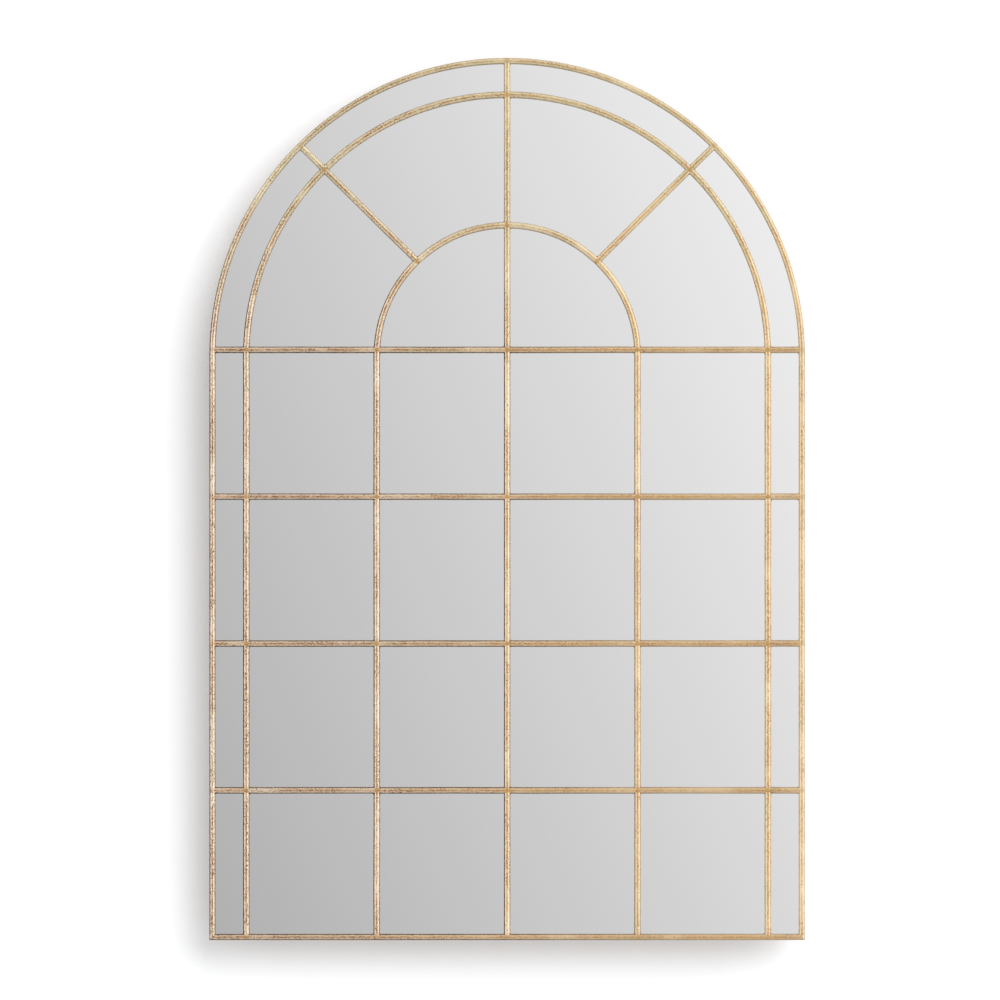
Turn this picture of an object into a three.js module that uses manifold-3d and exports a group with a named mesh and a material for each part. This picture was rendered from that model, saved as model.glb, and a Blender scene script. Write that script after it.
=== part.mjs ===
// Arched window mirror: a gilded iron frame with a welded window grille over one sheet of mirror glass.
// Millimetres, +Z up, +X to the right as seen from the front, and the front faces -Y.
// The origin is on the bottom edge, at the middle of its length and of the frame bar's depth.
import * as THREE from 'three';
import { mergeVertices } from 'three/addons/utils/BufferGeometryUtils.js';
import Module from 'manifold-3d';

const wasm = await Module();
wasm.setup();

// ---- driving dimensions ----
const OVERALL_WIDTH = 1028.7;
const OVERALL_HEIGHT = 1524;
const BAR_WIDTH = 9.5; // one width of bar for the frame and the grille, seen from the front
const CROWN_RISE = 3.2; // height of the rounded front of every bar above its straight sides
const FRAME_DEPTH = 25.4;
const FRAME_WALL = 4; // thickness of the frame's wall round the glass and the board, behind its face
const FACE_DEPTH = 9.5; // of the grille bars, and of the frame's face in front of its rebate
const BORDER_PITCH = 59; // frame stile to outer upright, and frame arch to large arch, between centre-lines
const ROW_COUNT = 4; // rows of panes between the bottom rail and the transom
const TRANSOM_RISE = 10; // the transom's centre-line above the line where the arches spring
const SPOKE_ANGLE = THREE.MathUtils.degToRad(44.6); // of each spoke above the transom
const GLASS_THICKNESS = 4;
const BOARD_THICKNESS = 6;
const EDGE_CLEARANCE = 1.5; // round the glass and the board, inside the frame
const TAB_THICKNESS = 2;
const TAB_WIDTH = 22;
const TAB_LENGTH = 26;
const SCREW_HOLE_RADIUS = 2.3;
const SCREW_EDGE_DISTANCE = 9; // from a hole's centre to the free end of its tab
const LOWER_TAB_ROWS = 1; // height of the lower tabs on the stiles, in rows of panes
const MIDDLE_TAB_ROWS = 2.5;
const HANGER_SHEET = 2;
const HANGER_PLATE_WIDTH = 46; // from the stile inwards
const HANGER_PLATE_HEIGHT = 52;
const HANGER_CORNER = 8; // chamfer of the plate's two free corners
const HANGER_NECK = 9; // from the plate's top edge up to the ring's axis
const HANGER_BELOW_SPRING = 60; // the ring's axis below the line where the arches spring
const KNUCKLE_WIDTH = 16;
const KNUCKLE_WRAP = 1.6 * Math.PI; // how far the sheet is rolled round the ring
const RING_WIRE = 3.5; // diameter
const RING_INSIDE_WIDTH = 24;
const RING_REACH = 24; // from the ring's axis to the middle of the wire at its bow
const RING_CORNER = 4.5;
const WALL_STANDOFF = 4.3; // from the back of the frame to the wall that the bumpers rest on
const LOWER_BUMPER_Z = 63.5;
const BUMPER_RADIUS = 7;
const BUMPER_TIP_RADIUS = 5.5;

// ---- clearances ----
const WELD_GAP = 0.3; // between bars that meet in a weld
const SEAT_GAP = 0.3; // between pieces that lie on each other
const PIVOT_CLEARANCE = 0.3; // between the ring's wire and the knuckle, and between the ring's butted ends

// ---- places that follow from them ----
const BAR_HALF = BAR_WIDTH / 2;
const STILE_X = OVERALL_WIDTH / 2 - BAR_HALF;
const OUTER_UPRIGHT_X = STILE_X - BORDER_PITCH;
const INNER_UPRIGHT_X = OUTER_UPRIGHT_X / 2;
const SPRING_Z = OVERALL_HEIGHT - OVERALL_WIDTH / 2; // where all three arches spring, and their centre
const TRANSOM_Z = SPRING_Z + TRANSOM_RISE;
const RAIL_Z = BAR_HALF;
const ROW_PITCH = (TRANSOM_Z - RAIL_Z) / ROW_COUNT;
const FRONT_Y = -FRAME_DEPTH / 2;
const FRAME_BACK_Y = FRAME_DEPTH / 2;
const GLASS_FRONT_Y = FRONT_Y + FACE_DEPTH + SEAT_GAP;
const BOARD_FRONT_Y = GLASS_FRONT_Y + GLASS_THICKNESS + SEAT_GAP;
const FIXING_Y = BOARD_FRONT_Y + BOARD_THICKNESS + SEAT_GAP; // front face of what lies on the board
const WALL_INSIDE = STILE_X + BAR_HALF - FRAME_WALL; // inside of the frame's wall, from the middle
const RING_RADIUS = RING_WIRE / 2;
const RING_AXIS_Y = FIXING_Y + HANGER_SHEET + PIVOT_CLEARANCE + RING_RADIUS;
const RING_AXIS_Z = SPRING_Z - HANGER_BELOW_SPRING;
const HANGER_X = WALL_INSIDE - WELD_GAP - HANGER_PLATE_WIDTH / 2;

// ---- fineness of curved faces ----
const CROWN_FACES = 8;
const BEND_STEP = THREE.MathUtils.degToRad(3);
const ROUND_FACES = 24;
const RING_SIDES = 10;
const RING_STEPS = 48;
const MERGE_WITHIN = 1e-4; // corners this close are one
const facesOn = (count) => Math.ceil(count / 2); // an arc in a shape gets twice its curveSegments

const finish = (color, roughness, metalness) => new THREE.MeshStandardMaterial({ color, roughness, metalness });
const gildedIron = () => finish(0xc49f68, 0.45, 0.85);
const mirrorGlass = () => finish(0xd4d6d6, 0.03, 1);
const fibreboard = () => finish(0x9c7b55, 0.85, 0);
const zincSteel = () => finish(0xb6b9ba, 0.4, 0.9);
const blackRubber = () => finish(0x262626, 0.8, 0);

// ---- solids ----
function solidOf(geometry) {
  const bare = geometry.clone();
  bare.deleteAttribute('normal');
  bare.deleteAttribute('uv');
  const merged = mergeVertices(bare, MERGE_WITHIN);
  const vertProperties = new Float32Array(merged.attributes.position.array);
  const triVerts = new Uint32Array(merged.index.array);
  return new wasm.Manifold(new wasm.Mesh({ numProp: 3, vertProperties, triVerts }));
}

function geometryOf(solid) {
  const { numProp, vertProperties, triVerts } = solid.getMesh();
  const geometry = new THREE.BufferGeometry();
  geometry.setAttribute('position', new THREE.BufferAttribute(vertProperties, numProp));
  geometry.setIndex(new THREE.BufferAttribute(triVerts, 1));
  geometry.computeVertexNormals();
  return geometry;
}

// Cuts a placed mesh's ends to the shape of the placed bars that it is welded to.
function cope(mesh, mates) {
  mesh.updateMatrixWorld();
  const toOwnFrame = mesh.matrixWorld.clone().invert();
  let solid = solidOf(mesh.geometry);
  for (const mate of mates) {
    mate.updateMatrixWorld();
    const cutter = mate.geometry.clone().applyMatrix4(mate.matrixWorld).applyMatrix4(toOwnFrame);
    solid = solid.subtract(solidOf(cutter));
  }
  mesh.geometry = geometryOf(solid);
  return mesh;
}

// ---- bars ----
// The section of every bar: flat back, straight sides and an elliptical crown at the front. X is across the bar.
// A frame bar also has a wall behind its outer edge, on the side that outward gives as 1 or -1, which leaves a
// rebate for the glass and the board. A grille bar has no wall, and its outward is 0.
// A margin grows the section on every side, for the space that a bar needs where another is cut to meet it.
function barSection(outward, margin = 0) {
  const half = BAR_HALF + margin;
  const faceBack = FRONT_Y + FACE_DEPTH + margin;
  const wallBack = FRAME_BACK_Y + margin;
  const rebate = BAR_HALF - FRAME_WALL - margin;
  const section = new THREE.Shape();
  section.moveTo(half, outward > 0 ? wallBack : faceBack);
  if (outward > 0) {
    section.lineTo(rebate, wallBack);
    section.lineTo(rebate, faceBack);
  }
  if (outward < 0) {
    section.lineTo(-rebate, faceBack);
    section.lineTo(-rebate, wallBack);
  }
  section.lineTo(-half, outward < 0 ? wallBack : faceBack);
  section.absellipse(0, FRONT_Y + CROWN_RISE, half, CROWN_RISE + margin, Math.PI, 2 * Math.PI, false);
  section.closePath();
  return section;
}

// A straight bar that runs along +Z from 0.
function straightBar(outward, length, margin) {
  return new THREE.ExtrudeGeometry(barSection(outward, margin), {
    depth: length,
    bevelEnabled: false,
    curveSegments: facesOn(CROWN_FACES),
  });
}

// A bar bent round the Y axis from one angle to another, counted from +X towards +Z.
function bentBar(outward, radius, from, to, margin) {
  const geometry = new THREE.ExtrudeGeometry(barSection(outward, margin), {
    depth: to - from,
    steps: Math.ceil((to - from) / BEND_STEP),
    bevelEnabled: false,
    curveSegments: facesOn(CROWN_FACES),
  });
  const place = geometry.attributes.position;
  for (let i = 0; i < place.count; i += 1) {
    const reach = radius + place.getX(i);
    const angle = from + place.getZ(i);
    place.setXYZ(i, reach * Math.cos(angle), place.getY(i), reach * Math.sin(angle));
  }
  return geometry;
}

// Slopes the end of a straight bar at height z for a mitre: it moves by a slope times the distance across the bar.
function mitre(geometry, z, slope, shift) {
  const place = geometry.attributes.position;
  for (let i = 0; i < place.count; i += 1) {
    if (Math.abs(place.getZ(i) - z) < BAR_HALF) {
      place.setZ(i, z + shift + slope * place.getX(i));
    }
  }
  return geometry;
}

const upright = (outward, x, from, to, margin) => {
  const mesh = new THREE.Mesh(straightBar(outward, to - from, margin), gildedIron());
  mesh.position.set(x, 0, from);
  return mesh;
};

const arch = (outward, radius, from, to, margin) => {
  const mesh = new THREE.Mesh(bentBar(outward, radius, from, to, margin), gildedIron());
  mesh.position.set(0, 0, SPRING_Z);
  return mesh;
};

// A level bar's +X side, in its own section, faces down.
const level = (outward, z, from, to, margin) => {
  const mesh = new THREE.Mesh(straightBar(outward, to - from, margin), gildedIron());
  mesh.position.set(from, 0, z);
  mesh.rotation.y = Math.PI / 2;
  return mesh;
};

// A spoke lies on a line through the crossing of the transom and the centre bar, at an angle from +X.
const spoke = (angle, from, to, margin) => {
  const mesh = new THREE.Mesh(straightBar(0, to - from, margin), gildedIron());
  mesh.position.set(from * Math.cos(angle), 0, TRANSOM_Z + from * Math.sin(angle));
  mesh.rotation.y = Math.PI / 2 - angle;
  return mesh;
};

// How far along a spoke an arch of some radius is crossed, and at what angle seen from the arch's centre.
function spokeMeets(radius) {
  const across = TRANSOM_RISE * Math.cos(SPOKE_ANGLE);
  return Math.sqrt(radius ** 2 - across ** 2) - TRANSOM_RISE * Math.sin(SPOKE_ANGLE);
}
function spokeBearing(radius) {
  const along = spokeMeets(radius);
  return Math.atan2(TRANSOM_RISE + along * Math.sin(SPOKE_ANGLE), along * Math.cos(SPOKE_ANGLE));
}

const named = (mesh, name) => {
  mesh.name = name;
  return mesh;
};
const SIDES = [
  { side: 'left', sign: -1 },
  { side: 'right', sign: 1 },
];

// The space that each bar takes in a weld, for the bars that are cut to meet it.
const MIDDLE = Math.PI / 2;
const space = {
  rail: level(1, RAIL_Z, -STILE_X, STILE_X, WELD_GAP),
  frameArch: arch(1, STILE_X, 0, Math.PI, WELD_GAP),
  largeArch: arch(0, OUTER_UPRIGHT_X, 0, Math.PI, WELD_GAP),
  smallArch: arch(0, INNER_UPRIGHT_X, 0, Math.PI, WELD_GAP),
  centreBar: upright(0, 0, RAIL_Z, OVERALL_HEIGHT, WELD_GAP),
  spokes: SIDES.map(({ sign }) => {
    const angle = MIDDLE - sign * (MIDDLE - SPOKE_ANGLE);
    return spoke(angle, 0, spokeMeets(STILE_X), WELD_GAP);
  }),
};

// ---- frame ----
function frame() {
  const parts = new THREE.Group();
  const retreat = WELD_GAP / Math.SQRT2;
  const crown = MIDDLE - WELD_GAP / 2 / STILE_X; // the halves of the arch are butted at its top
  for (const { side, sign } of SIDES) {
    const [low, high] = sign > 0 ? [0, crown] : [Math.PI - crown, Math.PI];
    parts.add(named(arch(1, STILE_X, low, high), `frame_arch_${side}`));
    const stile = upright(sign, sign * STILE_X, 0, SPRING_Z - WELD_GAP);
    mitre(stile.geometry, 0, -sign, BAR_HALF + retreat);
    parts.add(named(stile, `frame_stile_${side}`));
  }
  const rail = level(1, RAIL_Z, -OVERALL_WIDTH / 2, OVERALL_WIDTH / 2);
  mitre(rail.geometry, 0, -1, BAR_HALF + retreat);
  mitre(rail.geometry, OVERALL_WIDTH, 1, -BAR_HALF - retreat);
  parts.add(named(rail, 'frame_bottom_rail'));
  return parts;
}

// ---- grille ----
function uprights() {
  const parts = new THREE.Group();
  const centre = upright(0, 0, RAIL_Z, SPRING_Z + STILE_X);
  parts.add(named(cope(centre, [space.rail, space.frameArch]), 'grille_centre_bar'));
  for (const { side, sign } of SIDES) {
    for (const [place, x] of [['inner', INNER_UPRIGHT_X], ['outer', OUTER_UPRIGHT_X]]) {
      const bar = upright(0, sign * x, RAIL_Z, SPRING_Z - WELD_GAP);
      parts.add(named(cope(bar, [space.rail]), `grille_${place}_upright_${side}`));
    }
  }
  return parts;
}

function arches() {
  const parts = new THREE.Group();
  const bearing = spokeBearing(OUTER_UPRIGHT_X);
  const spans = [
    { name: 'small_arch', radius: INNER_UPRIGHT_X, from: 0, to: MIDDLE },
    { name: 'large_arch_lower', radius: OUTER_UPRIGHT_X, from: 0, to: bearing },
    { name: 'large_arch_upper', radius: OUTER_UPRIGHT_X, from: bearing, to: MIDDLE },
  ];
  for (const { name, radius, from, to } of spans) {
    for (const { side, sign } of SIDES) {
      const [low, high] = sign > 0 ? [from, to] : [Math.PI - to, Math.PI - from];
      const bar = arch(0, radius, low, high);
      const mates = to === MIDDLE ? [space.centreBar] : [];
      if (radius === OUTER_UPRIGHT_X) mates.push(...space.spokes);
      parts.add(named(cope(bar, mates), `grille_${name}_${side}`));
    }
  }
  return parts;
}

function spokes() {
  const parts = new THREE.Group();
  for (const { side, sign } of SIDES) {
    const angle = MIDDLE - sign * (MIDDLE - SPOKE_ANGLE);
    const bar = spoke(angle, spokeMeets(INNER_UPRIGHT_X), spokeMeets(STILE_X));
    parts.add(named(cope(bar, [space.smallArch, space.frameArch]), `grille_spoke_${side}`));
  }
  return parts;
}

// Every row is cut into lengths between the bars that stand in its way, and each length is coped at both ends.
function rows() {
  const parts = new THREE.Group();
  const columns = [-STILE_X, -OUTER_UPRIGHT_X, -INNER_UPRIGHT_X, 0, INNER_UPRIGHT_X, OUTER_UPRIGHT_X, STILE_X];
  const standing = columns.map((x) => {
    const outward = Math.abs(x) === STILE_X ? Math.sign(x) : 0;
    return upright(outward, x, 0, x === 0 ? OVERALL_HEIGHT : SPRING_Z, WELD_GAP);
  });
  const bent = [space.frameArch, space.largeArch, space.smallArch];
  for (let row = 1; row <= ROW_COUNT; row += 1) {
    const z = RAIL_Z + row * ROW_PITCH;
    const label = row === ROW_COUNT ? 'transom' : `rail_${row}`;
    for (let bay = 1; bay < columns.length; bay += 1) {
      const bar = level(0, z, columns[bay - 1], columns[bay]);
      const mates = [standing[bay - 1], standing[bay], ...bent];
      parts.add(named(cope(bar, mates), `grille_${label}_bay_${bay}`));
    }
  }
  return parts;
}

// ---- glass and board ----
// A sheet with the outline of the frame's rebate, its front face at a depth y. It sits on the bottom rail.
function archedSheet(name, y, thickness, material) {
  const half = WALL_INSIDE - EDGE_CLEARANCE;
  const outline = new THREE.Shape();
  outline.moveTo(-half, FRAME_WALL + SEAT_GAP);
  outline.lineTo(half, FRAME_WALL + SEAT_GAP);
  outline.absarc(0, SPRING_Z, half, 0, Math.PI, false);
  outline.closePath();
  const curveSegments = facesOn(Math.PI / BEND_STEP);
  const geometry = new THREE.ExtrudeGeometry(outline, { depth: thickness, bevelEnabled: false, curveSegments });
  const mesh = new THREE.Mesh(geometry, material);
  mesh.rotation.x = Math.PI / 2;
  mesh.position.y = y + thickness;
  return named(mesh, name);
}

// ---- retaining tabs ----
// A tab is a flat lug with a round end, welded by its square end to the inside of the frame at a point and an angle.
function tabGeometry() {
  const half = TAB_WIDTH / 2;
  const outline = new THREE.Shape();
  outline.moveTo(0, -half);
  outline.lineTo(TAB_LENGTH - half, -half);
  outline.absarc(TAB_LENGTH - half, 0, half, -MIDDLE, MIDDLE, false);
  outline.lineTo(0, half);
  outline.closePath();
  const hole = new THREE.Path();
  hole.absarc(TAB_LENGTH - SCREW_EDGE_DISTANCE, 0, SCREW_HOLE_RADIUS, 0, 2 * Math.PI, true);
  outline.holes.push(hole);
  const options = { depth: TAB_THICKNESS, bevelEnabled: false, curveSegments: facesOn(ROUND_FACES / 2) };
  const geometry = new THREE.ExtrudeGeometry(outline, options);
  return geometry.rotateX(MIDDLE).translate(0, TAB_THICKNESS, 0);
}

function retainingTabs() {
  const parts = new THREE.Group();
  const wall = WALL_INSIDE - WELD_GAP;
  const tab = (name, x, z, heading) => {
    const mesh = new THREE.Mesh(tabGeometry(), gildedIron());
    mesh.position.set(x, FIXING_Y, z);
    mesh.rotation.y = -heading;
    parts.add(named(mesh, `retaining_tab_${name}`));
  };
  const wallReach = Math.sqrt(wall ** 2 - (TAB_WIDTH / 2) ** 2); // keeps the corners of a tab clear of the arch
  for (const { side, sign } of SIDES) {
    const inwards = sign > 0 ? Math.PI : 0;
    tab(`lower_${side}`, sign * wall, LOWER_TAB_ROWS * ROW_PITCH, inwards);
    tab(`middle_${side}`, sign * wall, MIDDLE_TAB_ROWS * ROW_PITCH, inwards);
    tab(`bottom_${side}`, sign * INNER_UPRIGHT_X, FRAME_WALL + WELD_GAP, MIDDLE);
    const bearing = MIDDLE - (sign * MIDDLE) / 2; // half way up the arch
    const x = wallReach * Math.cos(bearing);
    tab(`upper_${side}`, x, SPRING_Z + wallReach * Math.sin(bearing), bearing + Math.PI);
  }
  return parts;
}

// ---- hangers ----
// The plate lies on the board and is welded to the stile. Its neck is rolled round the straight side of the ring.
function hangerPlate() {
  const half = HANGER_PLATE_WIDTH / 2;
  const top = -HANGER_NECK;
  const bottom = top - HANGER_PLATE_HEIGHT;
  const outline = new THREE.Shape();
  outline.moveTo(half, top);
  outline.lineTo(-half + HANGER_CORNER, top);
  outline.lineTo(-half, top - HANGER_CORNER);
  outline.lineTo(-half, bottom + HANGER_CORNER);
  outline.lineTo(-half + HANGER_CORNER, bottom);
  outline.lineTo(half, bottom);
  outline.closePath();
  for (const x of [-half + SCREW_EDGE_DISTANCE, half - SCREW_EDGE_DISTANCE]) {
    const hole = new THREE.Path();
    hole.absarc(x, bottom + SCREW_EDGE_DISTANCE, SCREW_HOLE_RADIUS, 0, 2 * Math.PI, true);
    outline.holes.push(hole);
  }
  const options = { depth: HANGER_SHEET, bevelEnabled: false, curveSegments: facesOn(ROUND_FACES / 2) };
  const plate = new THREE.ExtrudeGeometry(outline, options);
  return plate.rotateX(MIDDLE).translate(0, FIXING_Y + HANGER_SHEET, 0);
}

// The neck and its roll, seen from the side: shape x is the row's Y and shape y its Z, both from the ring's axis.
function hangerNeck() {
  const inner = RING_RADIUS + PIVOT_CLEARANCE;
  const outer = inner + HANGER_SHEET;
  const root = -HANGER_NECK - HANGER_CORNER; // the neck overlaps the plate this far down
  const end = Math.PI - KNUCKLE_WRAP;
  const roll = new THREE.Shape();
  roll.moveTo(-inner, root);
  roll.lineTo(-inner, 0);
  roll.absarc(0, 0, inner, Math.PI, end, true);
  roll.lineTo(outer * Math.cos(end), outer * Math.sin(end));
  roll.absarc(0, 0, outer, end, Math.PI, false);
  roll.lineTo(-outer, root);
  roll.closePath();
  const options = { depth: KNUCKLE_WIDTH, bevelEnabled: false, curveSegments: facesOn(ROUND_FACES) };
  const neck = new THREE.ExtrudeGeometry(roll, options).translate(0, 0, -KNUCKLE_WIDTH / 2);
  // Turns shape (x, y, z) into the row's (y, z, x).
  const turn = new THREE.Matrix4().makeBasis(
    new THREE.Vector3(0, 1, 0),
    new THREE.Vector3(0, 0, 1),
    new THREE.Vector3(1, 0, 0),
  );
  return neck.applyMatrix4(turn).translate(0, RING_AXIS_Y, 0);
}

// The ring's centre-line: a straight side on the axis, round corners and a bow below it.
class RingLine extends THREE.Curve {
  getPoint(t, target = new THREE.Vector3()) {
    const half = RING_INSIDE_WIDTH / 2 + RING_RADIUS;
    const straight = half - RING_CORNER - PIVOT_CLEARANCE / 2;
    const corner = RING_CORNER * MIDDLE;
    const bow = (Math.PI * (half + RING_REACH - RING_CORNER)) / 2; // length of the half ellipse, near enough
    const total = straight + corner + bow / 2;
    const along = Math.abs(2 * t - 1) * total;
    const sign = t < 0.5 ? 1 : -1;
    if (along > corner + bow / 2) {
      return target.set(sign * (PIVOT_CLEARANCE / 2 + total - along), 0, 0);
    }
    if (along > bow / 2) {
      const turn = (total - straight - along) / RING_CORNER;
      const x = half - RING_CORNER + RING_CORNER * Math.sin(turn);
      return target.set(sign * x, 0, RING_CORNER * (Math.cos(turn) - 1));
    }
    const turn = (along / (bow / 2)) * MIDDLE;
    return target.set(sign * half * Math.sin(turn), 0, -RING_CORNER - (RING_REACH - RING_CORNER) * Math.cos(turn));
  }
}

function ringGeometry() {
  const wire = new THREE.Shape();
  wire.absarc(0, 0, RING_RADIUS, 0, 2 * Math.PI, false);
  const options = { steps: RING_STEPS, extrudePath: new RingLine(), curveSegments: facesOn(RING_SIDES) };
  return new THREE.ExtrudeGeometry(wire, options);
}

function hangers() {
  const parts = new THREE.Group();
  const plate = solidOf(hangerPlate()).add(solidOf(hangerNeck()));
  for (const { side, sign } of SIDES) {
    const fixed = new THREE.Mesh(geometryOf(plate), zincSteel());
    fixed.position.set(sign * HANGER_X, 0, RING_AXIS_Z);
    if (sign < 0) {
      // The left plate is the right one turned over, so its square edge meets the left stile.
      fixed.geometry = geometryOf(plate.mirror([1, 0, 0]));
    }
    const ring = new THREE.Mesh(ringGeometry(), zincSteel());
    ring.position.set(sign * HANGER_X, RING_AXIS_Y, RING_AXIS_Z);
    parts.add(named(fixed, `hanger_plate_${side}`), named(ring, `d_ring_${side}`));
  }
  return parts;
}

// ---- bumpers ----
// Tapered rubber feet on the board, which keep the iron off the wall. Their profile turns round the Y axis.
function bumpers() {
  const parts = new THREE.Group();
  const reach = FRAME_BACK_Y + WALL_STANDOFF - FIXING_Y;
  const profile = [
    new THREE.Vector2(0, 0),
    new THREE.Vector2(BUMPER_RADIUS, 0),
    new THREE.Vector2(BUMPER_TIP_RADIUS, reach),
    new THREE.Vector2(0, reach),
  ];
  const heights = { lower: LOWER_BUMPER_Z, upper: RING_AXIS_Z };
  for (const [place, z] of Object.entries(heights)) {
    for (const { side, sign } of SIDES) {
      const foot = new THREE.Mesh(new THREE.LatheGeometry(profile, ROUND_FACES), blackRubber());
      foot.position.set(sign * OUTER_UPRIGHT_X, FIXING_Y, z);
      parts.add(named(foot, `bumper_${place}_${side}`));
    }
  }
  return parts;
}

const mirror = new THREE.Group();
mirror.add(
  frame(),
  uprights(),
  arches(),
  spokes(),
  rows(),
  archedSheet('mirror_glass', GLASS_FRONT_Y, GLASS_THICKNESS, mirrorGlass()),
  archedSheet('backing_board', BOARD_FRONT_Y, BOARD_THICKNESS, fibreboard()),
  retainingTabs(),
  hangers(),
  bumpers(),
);

export default mirror;
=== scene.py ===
"""Arched window mirror: gilded bars, mirror glass, back hardware and a pale studio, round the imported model.

Metres, +Z up, +X to the right as seen from the front, and the mirror faces -Y.
"""
import logging
import math
from collections.abc import Iterable
from dataclasses import dataclass
from enum import Enum

import bmesh
import bpy
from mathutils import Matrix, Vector


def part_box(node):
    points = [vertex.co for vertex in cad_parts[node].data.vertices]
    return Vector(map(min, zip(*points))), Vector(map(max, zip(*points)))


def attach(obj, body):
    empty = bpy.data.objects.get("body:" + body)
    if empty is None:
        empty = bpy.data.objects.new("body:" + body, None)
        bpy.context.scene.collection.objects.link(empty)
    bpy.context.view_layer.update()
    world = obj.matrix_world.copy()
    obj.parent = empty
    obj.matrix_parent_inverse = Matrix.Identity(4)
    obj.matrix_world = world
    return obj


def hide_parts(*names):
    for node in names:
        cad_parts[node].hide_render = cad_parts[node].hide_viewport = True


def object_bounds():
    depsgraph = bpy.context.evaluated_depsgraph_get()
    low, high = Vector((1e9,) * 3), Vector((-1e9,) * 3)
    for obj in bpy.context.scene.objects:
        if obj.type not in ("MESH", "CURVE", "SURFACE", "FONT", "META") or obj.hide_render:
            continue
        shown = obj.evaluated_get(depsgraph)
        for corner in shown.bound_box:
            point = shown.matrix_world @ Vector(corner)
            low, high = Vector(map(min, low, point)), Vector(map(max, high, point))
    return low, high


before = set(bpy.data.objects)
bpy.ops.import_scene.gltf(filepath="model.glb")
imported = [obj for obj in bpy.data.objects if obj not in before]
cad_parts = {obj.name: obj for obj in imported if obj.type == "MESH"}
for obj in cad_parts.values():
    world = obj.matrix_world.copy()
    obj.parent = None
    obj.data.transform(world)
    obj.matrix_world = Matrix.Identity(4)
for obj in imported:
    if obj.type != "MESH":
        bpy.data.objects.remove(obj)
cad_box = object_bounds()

Socket = bpy.types.NodeSocket
Tree = bpy.types.NodeTree
Mesh = bpy.types.Mesh
Thing = bpy.types.Object
Material = bpy.types.Material
Value = float | Socket
Place = tuple[float, float, float]
Flat = tuple[float, float]  # (x, z) in the plane of the mirror

MM = 0.001
WHITE_TONE = 255.0
log = logging.getLogger("mirror")


class Slot(Enum):
    """The record's material slots."""

    GILDED_IRON = "gilded_iron"
    MIRROR_GLASS = "mirror_glass"
    BACKING_BOARD = "backing_board"
    ZINC_STEEL = "zinc_steel"
    RUBBER = "rubber"


class Side(Enum):
    """Left and right as seen from the front, with the sign of X."""

    LEFT = -1
    RIGHT = 1

    @property
    def word(self) -> str:
        """The side as it stands in a node's name."""
        return self.name.lower()


class Lay(Enum):
    """How a pattern lies: along the bar that carries it, or over the piece in its own space."""

    ALONG_BAR = "along bar"
    ALL_OVER = "all over"


@dataclass(frozen=True)
class Fade:
    """How a strength goes from one value to another while what drives it rises from low to high."""

    low: Value
    high: Value
    start: Value = 0.0
    end: Value = 1.0


# ---- nodes ----
def linear(code: str) -> tuple[float, float, float, float]:
    """Turns an sRGB hex colour to linear.

    Args:
        code: The colour, as "#RRGGBB".

    Returns:
        Red, green, blue and an alpha of 1.
    """
    shares = [int(code[i : i + 2], 16) / WHITE_TONE for i in (1, 3, 5)]
    red, green, blue = (s / 12.92 if s <= 0.04045 else ((s + 0.055) / 1.055) ** 2.4 for s in shares)
    return red, green, blue, 1.0


def add(tree: Tree, kind: str, inputs: dict | None = None, **settings: object) -> bpy.types.Node:
    """Adds a node with its settings and its inputs.

    Args:
        tree: The node tree.
        kind: The node's type name.
        inputs: For each input, by name or number, its value or the output that feeds it.
        settings: The node's own settings.

    Returns:
        The new node.
    """
    node = tree.nodes.new(kind)
    for name, value in settings.items():
        setattr(node, name, value)
    for name, value in (inputs or {}).items():
        socket = node.inputs[name]
        if isinstance(value, Socket):
            tree.links.new(value, socket)
        else:
            socket.default_value = value
    return node


def maths(tree: Tree, kind: str, *values: Value, clamp: bool = False) -> Socket:
    """Joins numbers by an operation, and holds the result from 0 to 1 if it is to be clamped."""
    return add(tree, "ShaderNodeMath", dict(enumerate(values)), operation=kind, use_clamp=clamp).outputs[0]


def vectors(tree: Tree, kind: str, first: Socket, second: object) -> Socket:
    """Joins two vectors, or a vector and the number that scales it.

    Args:
        tree: The node tree.
        kind: The operation.
        first: The first vector.
        second: The second vector or the number.

    Returns:
        The result.
    """
    inputs = {0: first, "Scale" if kind == "SCALE" else 1: second}
    node = add(tree, "ShaderNodeVectorMath", inputs, operation=kind)
    return node.outputs["Value" if kind == "DOT_PRODUCT" else "Vector"]


def ramp(tree: Tree, value: Socket, fade: Fade, smooth: bool = True) -> Socket:
    """Turns a value into a strength.

    Args:
        tree: The node tree.
        value: What drives the strength.
        fade: How it does.
        smooth: Whether the strength eases in and out.

    Returns:
        The strength.
    """
    ends = {"From Min": fade.low, "From Max": fade.high, "To Min": fade.start, "To Max": fade.end}
    easing = "SMOOTHSTEP" if smooth else "LINEAR"
    node = add(tree, "ShaderNodeMapRange", {"Value": value, **ends}, interpolation_type=easing)
    return node.outputs["Result"]


def geometry_tree(name: str, inputs: dict[str, tuple[str, object]]) -> tuple[Tree, dict[str, Socket]]:
    """Starts a Geometry Nodes tree with named inputs.

    Args:
        name: The tree's name.
        inputs: For each input, the end of its socket type's name and its default, or None for no default.

    Returns:
        The tree, and its inputs' sockets by name.
    """
    tree = bpy.data.node_groups.new(name, "GeometryNodeTree")
    tree.interface.new_socket("Geometry", in_out="INPUT", socket_type="NodeSocketGeometry")
    tree.interface.new_socket("Geometry", in_out="OUTPUT", socket_type="NodeSocketGeometry")
    for label, (kind, default) in inputs.items():
        socket = tree.interface.new_socket(label, in_out="INPUT", socket_type=f"NodeSocket{kind}")
        if default is not None:
            socket.default_value = default
    entry = add(tree, "NodeGroupInput")
    return tree, {s.name: s for s in entry.outputs if s.name}


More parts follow.
